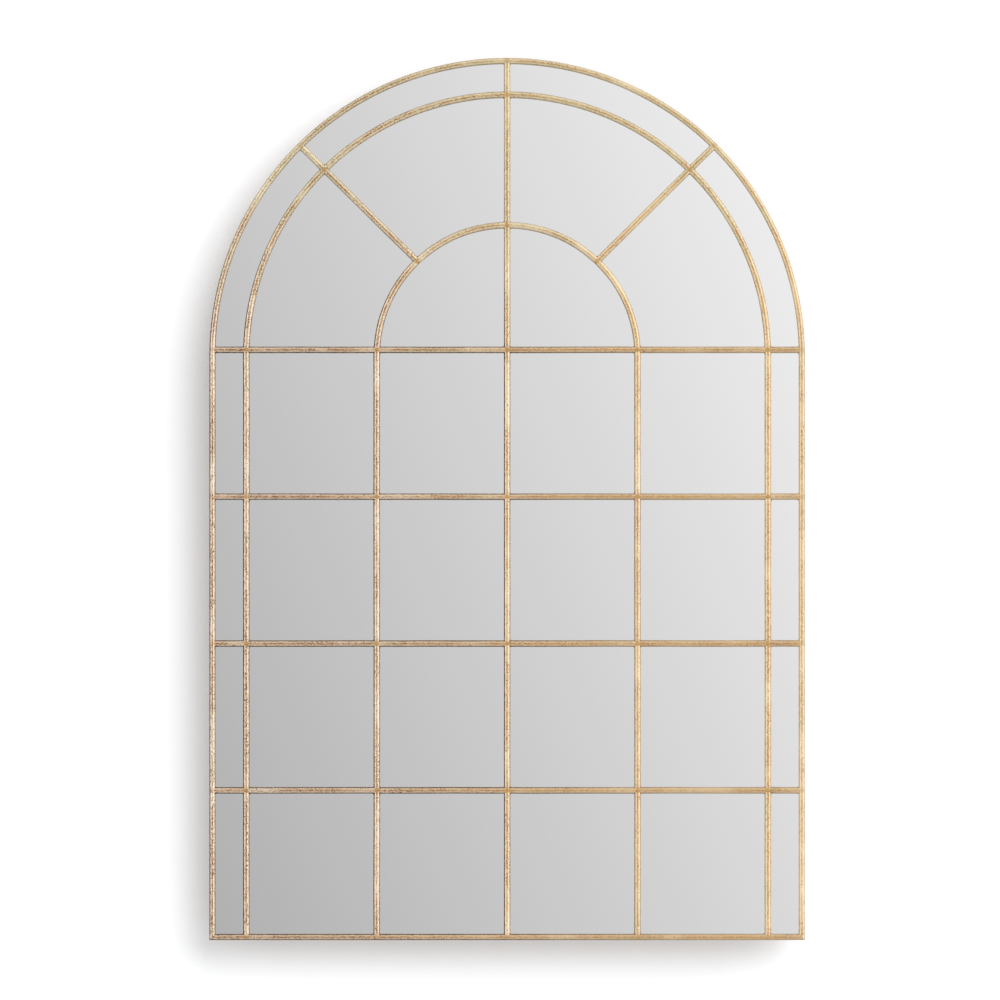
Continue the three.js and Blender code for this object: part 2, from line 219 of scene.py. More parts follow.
def carried(tree: Tree, shape: Socket, values: dict[str, Socket]) -> Socket:
    """Stores numbers on the points of a shape, for its finish to read.

    Args:
        tree: The tree.
        shape: The geometry.
        values: The numbers, by name.

    Returns:
        The geometry with them.
    """
    for name, value in values.items():
        inputs = {"Geometry": shape, "Name": name, "Value": value}
        node = add(tree, "GeometryNodeStoreNamedAttribute", inputs, data_type="FLOAT", domain="POINT")
        shape = node.outputs[0]
    return shape


def moved(tree: Tree, shape: Socket, way: Socket, distance: Socket) -> Socket:
    """Shifts the points of a shape some way in a direction."""
    offset = vectors(tree, "SCALE", way, distance)
    return add(tree, "GeometryNodeSetPosition", {"Geometry": shape, "Offset": offset}).outputs[0]


def close_tree(tree: Tree, shape: Socket, finish: Socket) -> None:
    """Ends a tree in Realize Instances and Set Material.

    Args:
        tree: The tree.
        shape: The geometry that it has made.
        finish: The material's socket.
    """
    real = add(tree, "GeometryNodeRealizeInstances", {"Geometry": shape})
    dressed = add(tree, "GeometryNodeSetMaterial", {"Geometry": real.outputs[0], "Material": finish})
    add(tree, "NodeGroupOutput", {"Geometry": dressed.outputs[0]})


# ---- meshes and pieces ----
def middle(node: str) -> Place:
    """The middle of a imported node's box."""
    low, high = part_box(node)
    return tuple((a + b) / 2 for a, b in zip(low, high))


def new_object(name: str, data: bpy.types.ID) -> Thing:
    """Makes an object, at the origin, for a mesh in the row's frame, a lamp or a camera."""
    thing = bpy.data.objects.new(name, data)
    bpy.context.scene.collection.objects.link(thing)
    return thing


def wires(name: str, places: list[Place], edges: list[tuple[int, int]] | None = None) -> Mesh:
    """Makes a mesh of points and of the edges between them, if any."""
    mesh = bpy.data.meshes.new(name)
    mesh.from_pydata(places, edges or [], [])
    return mesh


def ring_of(count: int) -> list[tuple[int, int]]:
    """The edges that join points in a closed loop."""
    return [(i, (i + 1) % count) for i in range(count)]


def mesh_of(name: str, shape: bmesh.types.BMesh, sharp_over: float = 35) -> Mesh:
    """Turns a bmesh into a smooth-shaded mesh with its normals outwards.

    Args:
        name: The mesh's name.
        shape: The bmesh, which is freed.
        sharp_over: Angle between faces, in degrees, over which an edge stays sharp.

    Returns:
        The mesh.
    """
    bmesh.ops.recalc_face_normals(shape, faces=shape.faces)
    mesh = bpy.data.meshes.new(name)
    shape.to_mesh(mesh)
    shape.free()
    mesh.shade_smooth()
    mesh.set_sharp_from_angle(angle=math.radians(sharp_over))
    return mesh


def bevel(shape: bmesh.types.BMesh, width: float, over: float) -> None:
    """Rounds the sharp edges of a bmesh, with two faces across.

    Args:
        shape: The bmesh.
        width: Width of the rounding.
        over: Least angle between the faces of an edge that is rounded, in degrees.
    """
    sharp = [e for e in shape.edges if e.is_manifold and e.calc_face_angle() > math.radians(over)]
    bmesh.ops.bevel(shape, geom=sharp, offset=width, segments=2, affect="EDGES", profile=0.5)


def grown(name: str, seed_mesh: Mesh, tree: Tree, values: dict[str, object]) -> Thing:
    """Runs a Geometry Nodes tree on a mesh and keeps the result as a plain mesh.

    Args:
        name: The piece's name.
        seed_mesh: The mesh that goes in.
        tree: The tree.
        values: The tree's inputs, by name.

    Returns:
        The piece, with no modifier left.
    """
    piece = new_object(name, seed_mesh)
    modifier = piece.modifiers.new(tree.name, "NODES")
    modifier.node_group = tree
    sockets = {s.name: s.identifier for s in tree.interface.items_tree if s.in_out == "INPUT"}
    for label, value in values.items():
        modifier[sockets[label]] = value
    depsgraph = bpy.context.evaluated_depsgraph_get()
    done = bpy.data.meshes.new_from_object(
        piece.evaluated_get(depsgraph), preserve_all_data_layers=True, depsgraph=depsgraph
    )
    piece.modifiers.clear()
    for index in reversed(range(len(done.materials))):
        if done.materials[index] is None:
            done.materials.pop(index=index)
    piece.data = done
    done.name = name
    return piece


def seat(piece: Thing, body: str, slot: Slot, *nodes: str) -> None:
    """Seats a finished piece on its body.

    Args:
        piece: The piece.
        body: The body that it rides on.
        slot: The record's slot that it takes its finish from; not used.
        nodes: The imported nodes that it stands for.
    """
    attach(piece, body)
    if nodes:
        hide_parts(*nodes)
    log.info("%-34s %7d faces, on %s", piece.name, len(piece.data.polygons), body)


# ---- finishes ----
class Painter:
    """Builds one material, node by node."""

    def __init__(self, name: str) -> None:
        """Makes the material, named in a maker's words, with an empty tree."""
        self.material = bpy.data.materials.new(name)
        self.material.use_nodes = True
        self.tree = self.material.node_tree
        self.tree.nodes.clear()

    def space(self) -> Socket:
        """Reads the piece's own space."""
        return add(self.tree, "ShaderNodeTexCoord").outputs["Object"]

    def attribute(self, name: str) -> Socket:
        """Reads a number that the piece carries."""
        return add(self.tree, "ShaderNodeAttribute", attribute_name=name).outputs["Fac"]

    def noise(self, vector: Socket, cell: Place, detail: float) -> Socket:
        """Reads noise whose cells have a real size along each axis.

        Args:
            vector: Where it is read.
            cell: The size of a cell.
            detail: How many finer layers it has.

        Returns:
            The noise, about 0.5.
        """
        scaled = vectors(self.tree, "MULTIPLY", vector, [1 / c for c in cell])
        inputs = {"Vector": scaled, "Scale": 1.0, "Detail": detail, "Roughness": 0.6}
        return add(self.tree, "ShaderNodeTexNoise", inputs).outputs["Fac"]

    def mask(self, value: Socket, fade: Fade) -> Socket:
        """Turns a pattern into a mask with soft edges."""
        return ramp(self.tree, value, fade)

    def join(self, kind: str, *values: Value) -> Socket:
        """Joins masks by an operation, from 0 to 1."""
        return maths(self.tree, kind, *values, clamp=True)

    def blend(self, mask: Socket, under: Socket | str, over: Socket | str) -> Socket:
        """Lays one colour over another by a mask. Each is a hex code or an output."""
        under, over = (c if isinstance(c, Socket) else linear(c) for c in (under, over))
        return add(self.tree, "ShaderNodeMix", {0: mask, 6: under, 7: over}, data_type="RGBA").outputs[2]

    def share(self, value: Socket, ends: tuple[float, float]) -> Socket:
        """Goes evenly from one end to the other as a value goes from 0 to 1."""
        return ramp(self.tree, value, Fade(0.0, 1.0, *ends), smooth=False)

    def bump(self, height: Socket, strength: float, distance: float) -> Socket:
        """Turns a height into a relief of a real depth."""
        inputs = {"Strength": strength, "Distance": distance, "Height": height}
        return add(self.tree, "ShaderNodeBump", inputs).outputs[0]

    def finish(self, inputs: dict[str, object]) -> Material:
        """Ends the tree in a surface with these inputs."""
        shader = add(self.tree, "ShaderNodeBsdfPrincipled", inputs)
        add(self.tree, "ShaderNodeOutputMaterial", {"Surface": shader.outputs[0]})
        return self.material


@dataclass(frozen=True)
class GoldLeaf:
    """Antique gold leaf laid by hand over primed iron bar, then rubbed back and waxed brown.

    Seen close it is broken colour: cream on the shoulders, which is rubbed wear with a painted highlight,
    a mottled brown glaze down the middle, coppery sheets here and there, greener leaf at the top and amber
    stains round the welds. Leaf and glaze go pinker to the left and yellower to the right, partly their own
    tone and partly painted light from the right, and the glaze is darker on the left as painted shade. The
    level bars are browner as painted shade, dark brown painted shade runs along the bars' edges, heaviest
    low on the left, and fine specks of dark wax are thinned to the right as painted light.
    """

    name: str = "antique_gold_leaf_on_iron"
    lay: Lay = Lay.ALONG_BAR

    # Leaf pinker on the left and yellower on the right: partly its own tone, partly painted light from the
    # right.
    pink: str = "#DAB48C"  # the leaf on the left
    yellow: str = "#DDB67C"  # and on the right
    # Cream of the rubbed leaf, which also paints the highlight on the shoulders.
    worn_pink: str = "#FFEFDA"
    worn_yellow: str = "#FBE5C0"
    worn_green: str = "#ECDFBA"
    copper: str = "#BE865E"
    olive: str = "#BDA774"
    # Glaze darker on the left and paler on the right: painted shade and painted light.
    glaze: str = "#7E5432"
    pale_glaze: str = "#A87D50"
    amber: str = "#B98744"
    level_glaze: str = "#96682F"  # painted shade on the level bars, which catch less of the side light
    # Dark brown: painted shade along the bars' edges, and real wax in the fine specks.
    wax: str = "#3C2817"

    streak_length: float = 11 * MM  # of the brush and rubbing marks
    streak_width: float = 2.0 * MM
    patch: float = 70 * MM  # along a bar, from well rubbed to well glazed
    mottle: float = 3.4 * MM  # broken patches of glaze
    speck: float = 2.0 * MM
    sheet: float = 85 * MM  # a leaf of gold, each of a slightly different shade
    grain: float = 1.1 * MM  # wrinkles in the leaf
    wrinkle_height: float = 0.22 * MM
    stain: float = 8 * MM  # how far the amber spreads round a weld
    seed_step: float = 0.73  # so that no two bars share a pattern

    # Across a bar, from 0 on its crest to 1 at its sides.
    crest: Fade = Fade(0.1, 0.5, 1.0, 0.0)
    # Where the painted highlight lies on the shoulders.
    shoulder: Fade = Fade(0.1, 0.35)
    shoulder_end: Fade = Fade(0.78, 0.92)
    waxed_foot: Fade = Fade(0.8, 0.96)  # of the crown, where painted shade darkens the edges
    clean_flank: Fade = Fade(0.985, 0.998, 0.0, 0.5)
    ragged: Fade = Fade(0.4, 0.65, 0.0, 0.1)  # how far streaks draw the painted edge shade inwards
    left_lean: float = 0.3  # and how far it reaches in on a side that faces left, away from the light

    # Across the mirror, in metres from its middle, and up it.
    rightward: Fade = Fade(-0.4, 0.25)
    # Painted shade on the bars' edges: heaviest to the left, fading towards the top.
    waxed_left: Fade = Fade(-0.1, 0.62, 1.0, 0.0)
    # Fewer dark specks to the right: painted light over real wax specks.
    clean_right: Fade = Fade(-0.35, 0.1, 0.0, 0.07)
    clean_top: Fade = Fade(1.0, 1.35, 0.0, 0.7)
    green_top: Fade = Fade(1.0, 1.35, 0.0, 0.18)
    green_gain: float = 4.0  # of that on the wear and painted highlight

    # Where each pattern starts to show, where it is full, and how strongly it covers.
    coppery: Fade = Fade(0.5, 0.66, 0.0, 0.75)
    greenish: Fade = Fade(0.54, 0.68, 0.0, 0.85)
    worn_streaks: Fade = Fade(0.42, 0.64, 0.0, 0.7)
    # Rubbed wear and a painted highlight on the shoulders.
    worn_shoulders: Fade = Fade(0.34, 0.52, 0.0, 0.95)
    worn_patches: Fade = Fade(0.56, 0.68, 0.0, 0.8)
    unbroken: Fade = Fade(0.45, 0.6, 1.0, 0.0)
    glazed_patches: Fade = Fade(0.38, 0.6, 1.0, 0.0)
    glazed_crest: Fade = Fade(0.42, 0.56)
    flecks: Fade = Fade(0.53, 0.63, 0.0, 0.85)
    # Painted shade along the bars' edges.
    waxed_edge: Fade = Fade(0.27, 0.45, 0.0, 0.97)
    grime: Fade = Fade(0.53, 0.66, 0.0, 0.85)
    least_crest: float = 0.3  # glaze and flecks left where a patch is rubbed
    least_flecks: float = 0.15
    level_share: float = 0.28
    stain_share: float = 0.42

    metal: tuple[float, float] = (0.8, 0.1)  # of bare leaf, and of wax and the painted edge shade
    gloss: tuple[float, float] = (0.38, 0.62)

    def material(self) -> Material:
        """Builds the material."""
        p = Painter(self.name)
        space = where = p.space()
        turn, patch_turn = self.streak_width, self.streak_width * 40
        if self.lay is Lay.ALONG_BAR:
            places = {axis: p.attribute(name) for axis, name in zip("XYZ", ("along", "around", "bar"))}
            where = add(p.tree, "ShaderNodeCombineXYZ", places).outputs[0]
            turn = patch_turn = self.seed_step
        streaks = p.noise(where, (self.streak_length, self.streak_width, turn), 3.0)
        mottling = p.noise(where, (self.mottle, self.mottle * 0.6, turn), 4.0)
        specks = p.noise(where, (self.speck * 1.6, self.speck, turn), 2.0)
        patches = p.noise(where, (self.patch, self.patch, patch_turn), 1.0)
        sheets = p.noise(space, (self.sheet,) * 3, 1.5)
        greens = p.noise(space, (self.sheet * 1.6,) * 3, 1.0)
        wrinkles = p.noise(where, (self.grain * 2.5, self.grain, turn), 3.0)
        position = add(p.tree, "ShaderNodeSeparateXYZ", {0: space}).outputs
        side, height = position["X"], position["Z"]
        edge, crest, shoulder, near_weld, level = 0.0, mottling, 0.3, 0.0, 0.0
        if self.lay is Lay.ALONG_BAR:
            edge, crest, shoulder, near_weld, level = self._parts_of_bar(p, streaks, side, height)

        # Partly painted light: leaf, wear and glaze shift in tone from left to right, the glaze darker on the
        # left.
        rightward = p.mask(side, self.rightward)
        tone = p.blend(rightward, self.pink, self.yellow)
        wear_and_highlight = p.blend(rightward, self.worn_pink, self.worn_yellow)
        tone = p.blend(p.mask(sheets, self.coppery), tone, self.copper)
        high_up = p.mask(height, self.green_top)
        tone = p.blend(p.mask(p.join("ADD", greens, high_up), self.greenish), tone, self.olive)
        wear_and_highlight = p.blend(p.join("MULTIPLY", high_up, self.green_gain), wear_and_highlight, self.worn_green)
        tone = p.blend(p.mask(streaks, self.worn_streaks), tone, wear_and_highlight)
        # Cream on the shoulders: rubbed wear and a painted highlight.
        tone = p.blend(p.join("MULTIPLY", shoulder, p.mask(mottling, self.worn_shoulders)), tone, wear_and_highlight)
        bare = p.join("MULTIPLY", p.mask(patches, self.worn_patches), p.mask(mottling, self.unbroken))
        tone = p.blend(bare, tone, wear_and_highlight)
        # Painted shade: the level bars are browner, as they catch less of the side light.
        tone = p.blend(p.join("MULTIPLY", level, self.level_share), tone, self.level_glaze)

        kept = p.mask(patches, self.glazed_patches)
        in_crest = p.join("MULTIPLY", crest, p.join("ADD", kept, self.least_crest))
        glazed = p.join("MULTIPLY", in_crest, p.mask(mottling, self.glazed_crest))
        flecks = p.join("MULTIPLY", p.mask(mottling, self.flecks), p.join("ADD", kept, self.least_flecks))
        # Painted shade: the glaze is darker on the left and paler on the right.
        brown = p.blend(rightward, self.glaze, self.pale_glaze)
        tone = p.blend(p.join("MAXIMUM", glazed, flecks), tone, brown)
        tone = p.blend(p.join("MULTIPLY", near_weld, self.stain_share), tone, self.amber)

        # Dark brown along the edges is painted shade, heaviest low on the left.
        painted_edge_shade = p.join("MULTIPLY", edge, p.mask(mottling, self.waxed_edge))
        # The fine specks are real wax, thinned on the right as painted light.
        grime = p.join("SUBTRACT", specks, p.mask(side, self.clean_right))
        waxed = p.join("MAXIMUM", painted_edge_shade, p.mask(grime, self.grime))
        tone = p.blend(waxed, tone, self.wax)
        dull = p.join("MAXIMUM", waxed, p.join("MULTIPLY", glazed, 0.5))
        relief = p.bump(maths(p.tree, "ADD", wrinkles, mottling), 0.55, self.wrinkle_height)
        metal, gloss = p.share(dull, self.metal), p.share(dull, self.gloss)
        return p.finish({"Base Color": tone, "Metallic": metal, "Roughness": gloss, "Normal": relief})

    def _parts_of_bar(self, p: Painter, streaks: Socket, side: Socket, height: Socket) -> tuple[Socket, ...]:
        """Makes the masks of a bar's parts.

        Args:
            p: The material's painter.
            streaks: The streaks along the bar.
            side: X across the mirror.
            height: Z up the mirror.

        Returns:
            Masks of the painted edge shade, the crest, the painted highlight on the shoulders, the places near
            a weld, and the level bars.
        """
        off_centre = maths(p.tree, "ABSOLUTE", p.attribute("breadth"))
        normal = add(p.tree, "ShaderNodeNewGeometry").outputs["Normal"]
        facing = add(p.tree, "ShaderNodeSeparateXYZ", {0: normal}).outputs["X"]
        # Painted edge shade: deeper on sides facing left, fading to the right and towards the top.
        lean = p.join("MULTIPLY", p.join("MULTIPLY_ADD", facing, -0.5, 0.5), self.left_lean)
        reach = p.join("ADD", lean, p.mask(streaks, self.ragged))
        foot = p.mask(p.join("ADD", off_centre, reach), self.waxed_foot)
        foot = p.join("SUBTRACT", foot, p.mask(off_centre, self.clean_flank))
        edge_shade_low_left = p.join("SUBTRACT", p.mask(side, self.waxed_left), p.mask(height, self.clean_top))
        # The shoulders, for the painted highlight.
        shoulder = p.mask(off_centre, self.shoulder)
        shoulder = p.join("SUBTRACT", shoulder, p.mask(off_centre, self.shoulder_end))
        near_weld = p.mask(p.attribute("weld"), Fade(self.stain * 0.3, self.stain, 1.0, 0.0))
        edge = p.join("MULTIPLY", foot, edge_shade_low_left)
        return edge, p.mask(off_centre, self.crest), shoulder, near_weld, p.attribute("level")


@dataclass(frozen=True)
class Silvering:
    """Silver behind clear float glass: a flawless, neutral mirror with the faintest haze left by cleaning."""

    name: str = "silvered_float_glass"
    silver: str = "#F6F6F6"
    haze: float = 180 * MM  # size of the marks that a cloth leaves
    haziest: float = 0.02

    def material(self) -> Material:
        """Builds the material."""
        p = Painter(self.name)
        inputs = {"Vector": p.space(), "Scale": 1 / self.haze, "Detail": 4.0}
        wiped = p.share(add(p.tree, "ShaderNodeTexNoise", inputs).outputs["Fac"], (0.0, self.haziest))
        return p.finish({"Base Color": linear(self.silver), "Metallic": 1.0, "Roughness": wiped})


@dataclass(frozen=True)
class Mottled:
    """A plain finish whose shade, gloss and surface vary in grains of a real size."""

    name: str
    light: str
    dark: str
    grain: float
    stretch: Place = (1.0, 1.0, 1.0)
    contrast: tuple[float, float] = (0.35, 0.65)
    metallic: float = 0.0
    gloss: tuple[float, float] = (0.5, 0.7)  # roughness of the light and of the dark grains
    relief: float = 0.05 * MM

    def material(self) -> Material:
        """Builds the material."""
        p = Painter(self.name)
        cells = add(p.tree, "ShaderNodeMapping", {"Vector": p.space(), "Scale": self.stretch}).outputs[0]
        inputs = {"Vector": cells, "Scale": 1 / self.grain, "Detail": 5.0, "Roughness": 0.62}
        grain = add(p.tree, "ShaderNodeTexNoise", inputs).outputs["Fac"]
        share = ramp(p.tree, grain, Fade(*self.contrast), smooth=False)
        tone, gloss = p.blend(share, self.light, self.dark), p.share(share, self.gloss)
        relief = p.bump(grain, 0.5, self.relief)
        return p.finish(
            {"Base Color": tone, "Metallic": self.metallic, "Roughness": gloss, "Normal": relief}
        )


# Ground and polished edge of float glass: the iron in it gives the eye a deep bottle green.
GLASS_EDGE = Mottled("polished_glass_edge", "#9DBFB0", "#6F9C8B", 3 * MM, gloss=(0.12, 0.22), relief=0.01 * MM)
# Lacquer over the silvering: flat grey, with the slight orange peel of a curtain-coated paint.
BACK_LACQUER = Mottled("grey_mirror_backing_paint", "#8A8F91", "#7B8082", 4 * MM, gloss=(0.45, 0.55))
# Medium-density fibreboard: felted fibres under a thin sanded face, brown with darker flecks.
FIBREBOARD = Mottled(
    "sanded_fibreboard", "#A98763", "#7F6142", 1.6 * MM, (1.0, 1.0, 0.6), (0.3, 0.72), gloss=(0.72, 0.86)
)
# Bright zinc plate on pressed steel: cool and slightly cloudy, with faint drawing lines up the strap.
ZINC_PLATE = Mottled(
    "bright_zinc_plate",
    "#C6CACC",
    "#9DA2A5",
    2.5 * MM,
    (1.0, 1.0, 0.2),
    metallic=1.0,
    gloss=(0.24, 0.4),
    relief=0.02 * MM,
)
# Moulded nitrile rubber: matt black with a fine bloom.
RUBBER = Mottled("moulded_black_rubber", "#2A2A2B", "#1C1C1D", 0.9 * MM, gloss=(0.7, 0.85), relief=0.03 * MM)


class Finishes:
    """The object's materials, each made once."""

    def __init__(self) -> None:
        """Builds every finish."""
        self.gold = GoldLeaf().material()
        self.gold_tabs = GoldLeaf("gold_leaf_on_steel_lugs", Lay.ALL_OVER).material()
        # Thick gilding pooled on the welds: amber, and rubbed to a paler one.
        leaf = dict.fromkeys(("pink", "yellow", "copper", "olive"), "#BC9054")
        wear_and_highlight = dict.fromkeys(("worn_pink", "worn_yellow", "worn_green"), "#DCBA82")
        self.gold_lumps = GoldLeaf("amber_gilding_on_weld", Lay.ALL_OVER, **leaf, **wear_and_highlight).material()
        self.silver = Silvering().material()
        self.glass_edge = GLASS_EDGE.material()
        self.lacquer = BACK_LACQUER.material()
        self.board = FIBREBOARD.material()
        self.zinc = ZINC_PLATE.material()
        self.rubber = RUBBER.material()


# ---- plan ----
@dataclass(frozen=True)
class Plan:
    """Centre-lines and levels of the bars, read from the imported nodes' boxes."""

    bar: float
    front: float
    face_back: float
    wall_back: float
    stile: float
    outer: float
    inner: float
    spring: float
    rail: float
    rows: tuple[float, ...]

    @classmethod
    def from_frame(cls) -> "Plan":
        """Reads the plan from the frame."""
        low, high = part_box("frame_stile_right")
        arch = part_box("frame_arch_right")[1]
        labels = ("rail_1", "rail_2", "rail_3", "transom")
        return cls(
            bar=high.x - low.x,
            front=low.y,
            face_back=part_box("grille_outer_upright_right")[1].y,
            wall_back=high.y,
            stile=middle("frame_stile_right")[0],
            outer=middle("grille_outer_upright_right")[0],
            inner=middle("grille_inner_upright_right")[0],
            spring=arch.z - arch.x,
            rail=middle("frame_bottom_rail")[2],
            rows=tuple(middle(f"grille_{label}_bay_3")[2] for label in labels),
        )

    def reach(self, radius: float, z: float) -> float:
        """Half width, at a height z, of the upright and the arch above it that share a radius."""
        rise = max(0.0, z - self.spring)
        return math.sqrt(radius**2 - rise**2)

    def spoke_bearing(self, radius: float, angle: float) -> float:
        """Angle, seen from the arches' centre, at which a spoke crosses an arch.

        Args:
            radius: The arch's radius.
            angle: The spoke's own angle from level.

        Returns:
            The angle from +X.
        """
        rise = self.rows[-1] - self.spring
        along = math.sqrt(radius**2 - (rise * math.cos(angle)) ** 2) - rise * math.sin(angle)
        return math.atan2(rise + along * math.sin(angle), along * math.cos(angle))


# ---- bars ----
@dataclass(frozen=True)
class BarSection:
    """Outline of a bar: flat back, straight sides, an elliptical crown and, on the frame, a wall behind."""

    width: float
    depth: float  # from the crown's top to the flat back of the face
    rise: float  # of the crown above the straight sides
    wall: float = 0.0  # thickness of the wall behind the face, if there is one
    wall_depth: float = 0.0  # from the back of the face to the back of the wall
    crown_faces: int = 12
    easing: float = 0.5 * MM  # rounding of the corners at the back
    seam: float = 0.2 * MM  # from a back corner to the outline's seam, which is hidden

    def outline(self, outward: int) -> list[Vector]:
        """Lists the outline's points, with X towards the front from the crown's foot and Y across.

        Args:
            outward: 1 or -1 for the side of Y that has the wall, and 0 for none.

        Returns:
            The points, in order round the outline.
        """
        half, back = self.width / 2, self.rise - self.depth
        turns = [math.pi * i / self.crown_faces for i in range(self.crown_faces + 1)]
        crown = [Vector((self.rise * math.sin(a), half * math.cos(a))) for a in turns]
        if not outward:
            corners = [Vector((back, -half)), Vector((back, half))]
        else:
            rebate, foot = half - self.wall, back - self.wall_depth
            outer = [Vector((foot, rebate)), Vector((foot, half))]
            corners = [Vector((back, -half)), Vector((back, rebate)), *outer]
        first, *rest = (self._eased(crown, corners, i) for i in range(len(corners)))
        start = rest[0][0]
        seam = start + (first[-1] - start).normalized() * self.seam
        points = [p for corner in rest for p in corner] + crown + first + [seam]
        return points[::-1] if outward >= 0 else [Vector((p.x, -p.y)) for p in points]

    def _eased(self, crown: list[Vector], corners: list[Vector], index: int) -> list[Vector]:
        """Cuts one back corner to a small rounding of three points."""
        ring = [crown[-1], *corners, crown[0]]
        here = ring[index + 1]
        before = (ring[index] - here).normalized() * self.easing
        after = (ring[index + 2] - here).normalized() * self.easing
        return [here + before, here + (before + after) * 0.3, here + after]

    def curve(self, name: str, outward: int) -> Thing:
        """Makes the outline a closed mesh line, for a tree to sweep. The caller removes it afterwards."""
        points = self.outline(outward)
        return new_object(name, wires(name, [(p.x, p.y, 0) for p in points], ring_of(len(points))))


@dataclass(frozen=True)
class Run:
    """The centre-line of one bar, as points in the plane of the mirror."""

    name: str
    points: tuple[Flat, ...]

    @classmethod
    def bend(cls, name: str, radius: float, centre_z: float, start: float, end: float) -> "Run":
        """A bar bent round the arches' centre.

        Args:
            name: The bar's name.
            radius: Radius of its centre-line.
            centre_z: Height of the centre.
            start: Angle from +X at which it starts.
            end: Angle at which it ends.

        Returns:
            The run, with a point at each degree or less.
        """
        steps = math.ceil(math.degrees(abs(end - start)))
        angles = [start + (end - start) * i / steps for i in range(steps + 1)]
        return cls(name, tuple((radius * math.cos(a), centre_z + radius * math.sin(a)) for a in angles))

    @property
    def is_level(self) -> bool:
        """Whether the bar is straight and level."""
        return len(self.points) == 2 and self.points[0][1] == self.points[1][1]

    def mesh(self, y: float) -> Mesh:
        """The run as a mesh line at a depth y."""
        return wires(self.name, [(x, y, z) for x, z in self.points], ring_of(len(self.points))[:-1])


